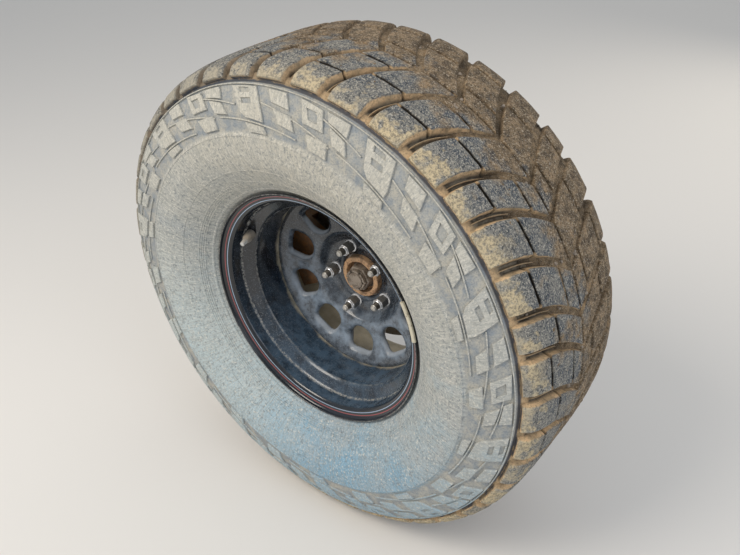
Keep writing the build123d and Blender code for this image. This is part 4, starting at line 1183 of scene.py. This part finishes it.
def wheel_disc():
    """Ten sectors round their windows, the rings inside and outside them, and the skirt."""
    bm = bmesh.new()
    beta = radians(HALF_STEP)
    corners = [atan2(r * sin(beta), r * cos(beta) - WINDOW_R) for r in (SECTOR_IN, SECTOR_OUT)]
    turns = [2 * pi * k / WINDOW_STEPS for k in range(WINDOW_STEPS)]
    for corner in corners + [2 * pi - c for c in corners]:
        nearest = min(range(WINDOW_STEPS), key=lambda k: abs(turns[k] - corner))
        turns[nearest] = corner
    turns.append(turns[0])
    rows = len(COLLAR) + 2

    def flat(column, row):
        phi = turns[column]
        near, far = window_reach(phi), sector_reach(phi)
        if row < len(COLLAR):
            reach, drop = near + COLLAR[row][0], COLLAR[row][1]
        else:
            share = (row - len(COLLAR) + 1) / (rows - len(COLLAR) + 1)
            start = near + COLLAR[-1][0]
            reach, drop = start + (far - start) * share, 0.0
        x, z = WINDOW_R + reach * cos(phi), reach * sin(phi)
        return x, z, drop

    def placed(x, z, drop, deg):
        r, a = hypot(x, z), atan2(z, x) + radians(deg)
        return Vector((r * cos(a), dish_y(r) + drop, r * sin(a)))

    for k in range(WINDOWS):
        deg = FIRST_WINDOW_DEG + 2 * HALF_STEP * k
        grid_sheet(bm, WINDOW_STEPS, rows, lambda i, j, deg=deg: placed(*flat(i, j), deg))
    edge = [flat(i, rows)[:2] for i in range(WINDOW_STEPS)]
    for radius, stops in ((SECTOR_IN, INNER_STOPS), (SECTOR_OUT, OUTER_STOPS)):
        near = sorted({round(degrees(atan2(z, x)), 4) for x, z in edge
                       if abs(hypot(x, z) - radius) < TOUCH})
        ring = [FIRST_WINDOW_DEG + 2 * HALF_STEP * k + a for k in range(WINDOWS) for a in near[:-1]]
        ring.append(ring[0])

        def at(i, j, ring=ring, stops=stops):
            a, r = radians(ring[i]), stops[j]
            return Vector((r * cos(a), dish_y(r), r * sin(a)))

        grid_sheet(bm, len(ring) - 1, len(stops) - 1, at)
    bmesh.ops.remove_doubles(bm, verts=bm.verts, dist=0.02)
    rim_edges = [e for e in bm.edges if e.is_boundary
                 and all(hypot(v.co.x, v.co.z) > EDGE_R for v in e.verts)]
    # how near each vertex is to a window's edge, for the painted highlight and dust on its lip
    lip = bm.verts.layers.float.new("lip")
    for v in bm.verts:
        r, turn = hypot(v.co.x, v.co.z), degrees(atan2(v.co.z, v.co.x)) - FIRST_WINDOW_DEG
        turn = radians((turn + HALF_STEP) % (2 * HALF_STEP) - HALF_STEP)
        outwards, aside = r * cos(turn) - WINDOW_R, r * sin(turn)
        beyond = hypot(outwards, aside) - window_reach(atan2(aside, outwards))
        v[lip] = max(0.0, 1.0 - max(beyond, 0.0) / LIP_SHOWS)
    skirt = bmesh.ops.extrude_edge_only(bm, edges=rim_edges)["geom"]
    bmesh.ops.translate(bm, vec=(0, SKIRT, 0),
                        verts=[g for g in skirt if isinstance(g, bmesh.types.BMVert)])
    return bm


disc_shape = wheel_disc()
bmesh.ops.recalc_face_normals(disc_shape, faces=disc_shape.faces)
disc_piece = finish_piece("wheel_disc_dressed", disc_shape, "wheel", disc_paint,
                          ("wheel_disc",), sharp_deg=60)
outward = sum(f.normal.y * f.area for f in disc_piece.data.polygons)
sheet = disc_piece.modifiers.new("thickness", "SOLIDIFY")
sheet.thickness, sheet.use_even_offset = DISC_T * MM, True
sheet.offset = -1 if outward < 0 else 1  # the outer face stays where it is
print("disc faces outboard:", outward < 0)

# %% [markdown]
# ## Nuts and studs
# Each nut is a hexagon with its corners turned off, on a round collar, plated; the stud's
# threads stand out of it with a rounded tip. Threads are drawn as rings, because a true helix
# can't be told from them at this size. The plate and the steel are marked by height along the
# axis, so that all five of each share one finish.

# %% Nuts and studs
NUT_FLATS = 19.0
NUT_H = 25.0
STUD_R = 6.2
THREAD_PITCH = 1.5


def lug_nut(x, z, twist):
    """Hexagon nut on its collar, under a crown ring that is open round the stud."""
    bm = bmesh.new()
    bmesh.ops.create_cone(bm, cap_ends=True, segments=6, radius1=NUT_FLATS / 3 ** 0.5,
                          radius2=NUT_FLATS / 3 ** 0.5, depth=NUT_H - 7)
    bmesh.ops.rotate(bm, matrix=Matrix.Rotation(twist, 3, "Z"), verts=bm.verts)
    bmesh.ops.rotate(bm, matrix=Matrix.Rotation(pi / 2, 3, "X"), verts=bm.verts)
    bmesh.ops.bevel(bm, geom=bm.edges[:], offset=1.1, segments=3, profile=0.5, affect="EDGES",
                    material=-1)
    bmesh.ops.translate(bm, vec=(x, PAD_Y - NUT_H / 2 - 0.5, z), verts=bm.verts)
    half = NUT_FLATS / 2
    collar = [(STUD_R, PAD_Y - 0.2), (half + 2.3, PAD_Y - 0.2), (half + 2.5, PAD_Y - 1.2),
              (half + 2.1, PAD_Y - 3.2), (half + 0.4, PAD_Y - 4.2), (STUD_R, PAD_Y - 4.2)]
    crown = [(STUD_R + 0.1, PAD_Y - NUT_H + 5), (half - 0.5, PAD_Y - NUT_H + 5),
             (half - 0.7, PAD_Y - NUT_H + 1.2), (half - 1.6, PAD_Y - NUT_H + 0.3),
             (STUD_R + 0.9, PAD_Y - NUT_H + 0.3), (STUD_R + 0.1, PAD_Y - NUT_H + 1.2)]
    for outline in (collar, crown):
        ring = spun(outline, 36, (x, z))
        mesh = bpy.data.meshes.new("nut_ring")
        ring.to_mesh(mesh)
        ring.free()
        bm.from_mesh(mesh)
    return bm


def nut_plate(name):
    """Chrome plate: bright on the two rings, grimy on the flats between them."""
    # two bright rings with a dark hexagon between them, so that a nut reads even when it is
    # small; real grime is finer than the 1.4 mm drawn, which is as fine as shows
    material, node, place = start_material(name)
    y, fine = node("parts", place)["Y"], node("noise", place, 1 / 1.4, 4, 0.7)
    flats = node("times", (y, PAD_Y - 5.0, PAD_Y - 4.4, 1.0, 0.0),
                 (y, PAD_Y - NUT_H + 4.0, PAD_Y - NUT_H + 4.6))
    grime = node("times", flats, (fine, 0.30, 0.45, 0.45, 0.9))
    colour = coated(node, "#E3E4E6", (grime, "#57554F"), ((fine, 0.60, 0.68, 0.0, 0.6), "#8A8173"))
    return end_material(material, node, colour, (grime, 0.0, 1.0, 0.24, 0.5),
                        (fine, 0.1, 0.3), {"Metallic": (grime, 0.0, 1.0, 0.55, 0.3)})


def stud(x, z, low_y, high_y):
    """Stud with threads to its rounded tip."""
    tip = [(0.4, low_y), (2.6, low_y + 0.3), (4.4, low_y + 1.4), (4.9, low_y + 3.0)]
    threads = []
    y = low_y + 3.6
    while y < PAD_Y - NUT_H + 4:
        threads += [(STUD_R - 0.5, y), (STUD_R, y + THREAD_PITCH / 2)]
        y += THREAD_PITCH
    foot = [(STUD_R - 0.1, y), (STUD_R - 0.1, high_y), (0.4, high_y)]
    return spun(tip + threads + foot, 28, (x, z))


def stud_steel(name, tip_y):
    """Turned steel: a pale rubbed tip, grimy threads."""
    # a pale dot in front of a short dark neck; the grime is drawn as coarse as on the nuts
    material, node, place = start_material(name)
    y, fine = node("parts", place)["Y"], node("noise", place, 1 / 1.6, 4, 0.7)
    colour = coated(node, "#D5D3CE", ((fine, 0.4, 0.65), "#AFA89C"),
                    ((shifted(node, y, fine, 0.5), tip_y + 3.4, tip_y + 4.4), "#5B5750"))
    return end_material(material, node, colour, (fine, 0.3, 0.7, 0.35, 0.55),
                        (fine, 0.1, 0.3), {"Metallic": 0.5})


nut_finish = nut_plate("chrome plate, grimy between its rings")
stud_finish = stud_steel("turned steel, rubbed at the tip", box_mm("wheel_stud_1")[0].y)
for k in range(1, 6):
    low, high = box_mm(f"lug_nut_{k}")
    x, z = (low.x + high.x) / 2, (low.z + high.z) / 2
    finish_piece(f"lug_nut_{k}_dressed", lug_nut(x, z, radians(17 * k)), "wheel",
                 nut_finish, (f"lug_nut_{k}",))
    low, high = box_mm(f"wheel_stud_{k}")
    finish_piece(f"wheel_stud_{k}_dressed", stud(x, z, low.y, high.y), "wheel",
                 stud_finish, (f"wheel_stud_{k}",))
print("studs", 2 * STUD_R, "mm, nuts", NUT_FLATS, "mm across the flats")

# %% [markdown]
# ## Valve and balance weight
# The valve's rubber stem and its cap are turned, then leaned and set on the slope of the rim.
# The weight is a cast strip clipped to the lip: its section is drawn once, carried a short way
# round by a spin, and its edges are bevelled. A bevelled curve would do too, but a spin follows
# the lip exactly.

# %% Valve and balance weight
VALVE_DEG = 152.6
VALVE_LEAN = 0.3  # towards the axis for each unit outboard
VALVE_FOOT = 43.0  # from the outboard lip
STEM = (  # radius and distance from the rim
    (0.4, 0.5), (7.0, 0.5), (8.4, 2.0), (8.5, 7.0), (8.0, 15.0), (6.6, 21.0), (5.2, 23.5),
    (0.4, 23.7),
)
CAP = ((0.4, 22.0), (4.4, 22.0), (4.6, 26.0), (4.1, 26.8), (4.1, 33.5), (3.3, 34.8), (0.4, 35.0))


def along_valve(outline):
    """Piece turned from (radius, distance from the rim) and set where the valve stands."""
    bm = spun([(r, -along) for r, along in outline], 32)
    x, z = cos(radians(VALVE_DEG)), sin(radians(VALVE_DEG))
    aim = Vector((-VALVE_LEAN * x, -1, -VALVE_LEAN * z))
    lean = Vector((0, -1, 0)).rotation_difference(aim).to_matrix()
    bmesh.ops.rotate(bm, matrix=lean, verts=bm.verts)
    foot_r = (SEAT_R + WELL_R) / 2
    bmesh.ops.translate(bm, vec=(foot_r * x, rim_low.y + VALVE_FOOT, foot_r * z), verts=bm.verts)
    return bm


for node, slot, outline in (("valve_stem", "valve_rubber", STEM),
                            ("valve_cap", "valve_plastic", CAP)):
    finish_piece(node + "_dressed", along_valve(outline), "wheel", finish_of[slot], (node,))

WEIGHT_DEG, WEIGHT_HALF_DEG = 17.8, 9.2
WEIGHT = (  # past the lip's radius, inboard of the rim's outer end
    (-6.0, 5.2), (-4.8, -1.6), (-3.2, -2.8), (1.0, -2.8), (2.0, -1.8), (2.0, 0.8), (-3.0, 0.8),
    (-4.4, 5.2),
)


def wheel_weight():
    """Clip-on weight: a strip that follows the lip, with its edges softened."""
    bm = bmesh.new()
    start = bm.faces.new([bm.verts.new((LIP_R + r, rim_low.y + y, 0)) for r, y in WEIGHT])
    turn = Matrix.Rotation(-radians(WEIGHT_DEG - WEIGHT_HALF_DEG), 3, "Y")
    bmesh.ops.rotate(bm, matrix=turn, verts=bm.verts)
    bmesh.ops.spin(bm, geom=[start], cent=(0, 0, 0), axis=(0, -1, 0),
                   angle=radians(2 * WEIGHT_HALF_DEG), steps=14)
    edges = [e for e in bm.edges if e.calc_face_angle(0) > radians(25)]
    bmesh.ops.bevel(bm, geom=edges, offset=0.5, segments=2, profile=0.5, affect="EDGES",
                    material=-1)
    return bm


finish_piece("wheel_weight_dressed", wheel_weight(), "wheel",
             finish_of["weight_zinc"], ("wheel_weight",))

# %% [markdown]
# ## Castings and forgings
# The hub, the brake, the knuckle and the yoke keep the shapes of their solids, but a real edge
# is never sharp: a copy is cleaned, its edges are bevelled, and it stands in for the solid. A
# subdivision surface could round everything too, but it would also melt the bores and the flat
# faces.

# %% Castings and forgings
FLAT_DEG = 2.0  # faces that turn less than this are one face
BEVEL_FROM_DEG = 32  # edges that turn more than this are bevelled
SOFT_EDGES = {  # node: body, bevel width in millimetres
    "hub": ("wheel", 0.8), "axle_nut": ("wheel", 1.6), "nut_retainer": ("wheel", 0.4),
    "axle_washer": ("wheel", 0.5), "brake_disc": ("wheel", 0.6), "stub_shaft": ("wheel", 1.0),
    "bearing_housing": ("knuckle", 1.0),
    "knuckle": ("knuckle", 1.6), "caliper": ("knuckle", 1.6), "ball_nut_upper": ("knuckle", 0.8),
    "ball_nut_lower": ("knuckle", 0.8), "axle_yoke": ("axle_end", 1.8),
    "upper_ball_joint": ("axle_end", 0.8), "lower_ball_joint": ("axle_end", 0.8),
}


def softened(node, width, body, material):
    """A copy of a CAD node with its edges bevelled, standing for the node."""
    bm = bmesh.new()
    bm.from_mesh(frame["nodes"][node].data)
    bmesh.ops.scale(bm, vec=(1 / MM,) * 3, verts=bm.verts)
    bmesh.ops.remove_doubles(bm, verts=bm.verts, dist=TOUCH)
    bmesh.ops.dissolve_limit(bm, angle_limit=radians(FLAT_DEG), verts=bm.verts, edges=bm.edges)
    edges = [e for e in bm.edges
             if e.is_manifold and e.calc_face_angle(0) > radians(BEVEL_FROM_DEG)]
    bmesh.ops.bevel(bm, geom=edges, offset=width, segments=2, profile=0.5,
                    affect="EDGES", clamp_overlap=True, material=-1)
    finish_piece(node + "_dressed", bm, body, material, (node,))


for node, (body, width) in SOFT_EDGES.items():
    softened(node, width, body, finish_of[slot_of[node]])

# %% [markdown]
# ## Floor and light
# A plain pale floor under the tyre, one large soft key lamp on the camera's left, a weak one
# from the right, a weaker one behind for the knuckle's side, and an even pale world. A picture of
# a real yard would light it more richly, but the part has to look right under any light.

# %% Floor and light
FLOOR_Z = tyre_low.z - 0.3
FLOOR_HALF = 12.0  # metres
LAMPS = (  # name, place and size in metres, watts, colour
    ("key", (-0.9, -2.2, 2.3), 1.6, 62, "#FFF6EA"),
    ("fill", (2.3, -0.8, 1.2), 1.8, 16, "#E8F0FF"),
    ("back", (0.7, 2.3, 1.0), 1.8, 13, "#FFF4E4"),
)
SKY, SKY_STRENGTH = "#E9ECF0", 0.58

floor_shape = bmesh.new()
bmesh.ops.create_grid(floor_shape, x_segments=1, y_segments=1, size=FLOOR_HALF)
bmesh.ops.translate(floor_shape, vec=(0, 0, FLOOR_Z * MM), verts=floor_shape.verts)
floor_mesh = bpy.data.meshes.new("floor")
floor_shape.to_mesh(floor_mesh)
floor_shape.free()
# matt paint, even and pale, so that nothing on the floor draws the eye
floor_paint, node, _ = start_material("studio floor, matt painted")
floor_mesh.materials.append(end_material(floor_paint, node, "#E6E4E0", 0.85))
linked("floor", floor_mesh)
for name, at, size, watts, colour in LAMPS:
    light = bpy.data.lights.new(name, "AREA")
    light.size, light.energy, light.color = size, watts, tone(colour)[:3]
    linked(name, light).matrix_world = aimed(Vector(at), Vector((0.0, CENTRE_Y * MM, 0.0)))
world = bpy.data.worlds.new("studio")
world.use_nodes = True
background = world.node_tree.nodes["Background"].inputs
background["Color"].default_value = tone(SKY)
background["Strength"].default_value = SKY_STRENGTH
bpy.context.scene.world = world
print(len(LAMPS), "lamps, floor at", round(FLOOR_Z, 1), "mm")
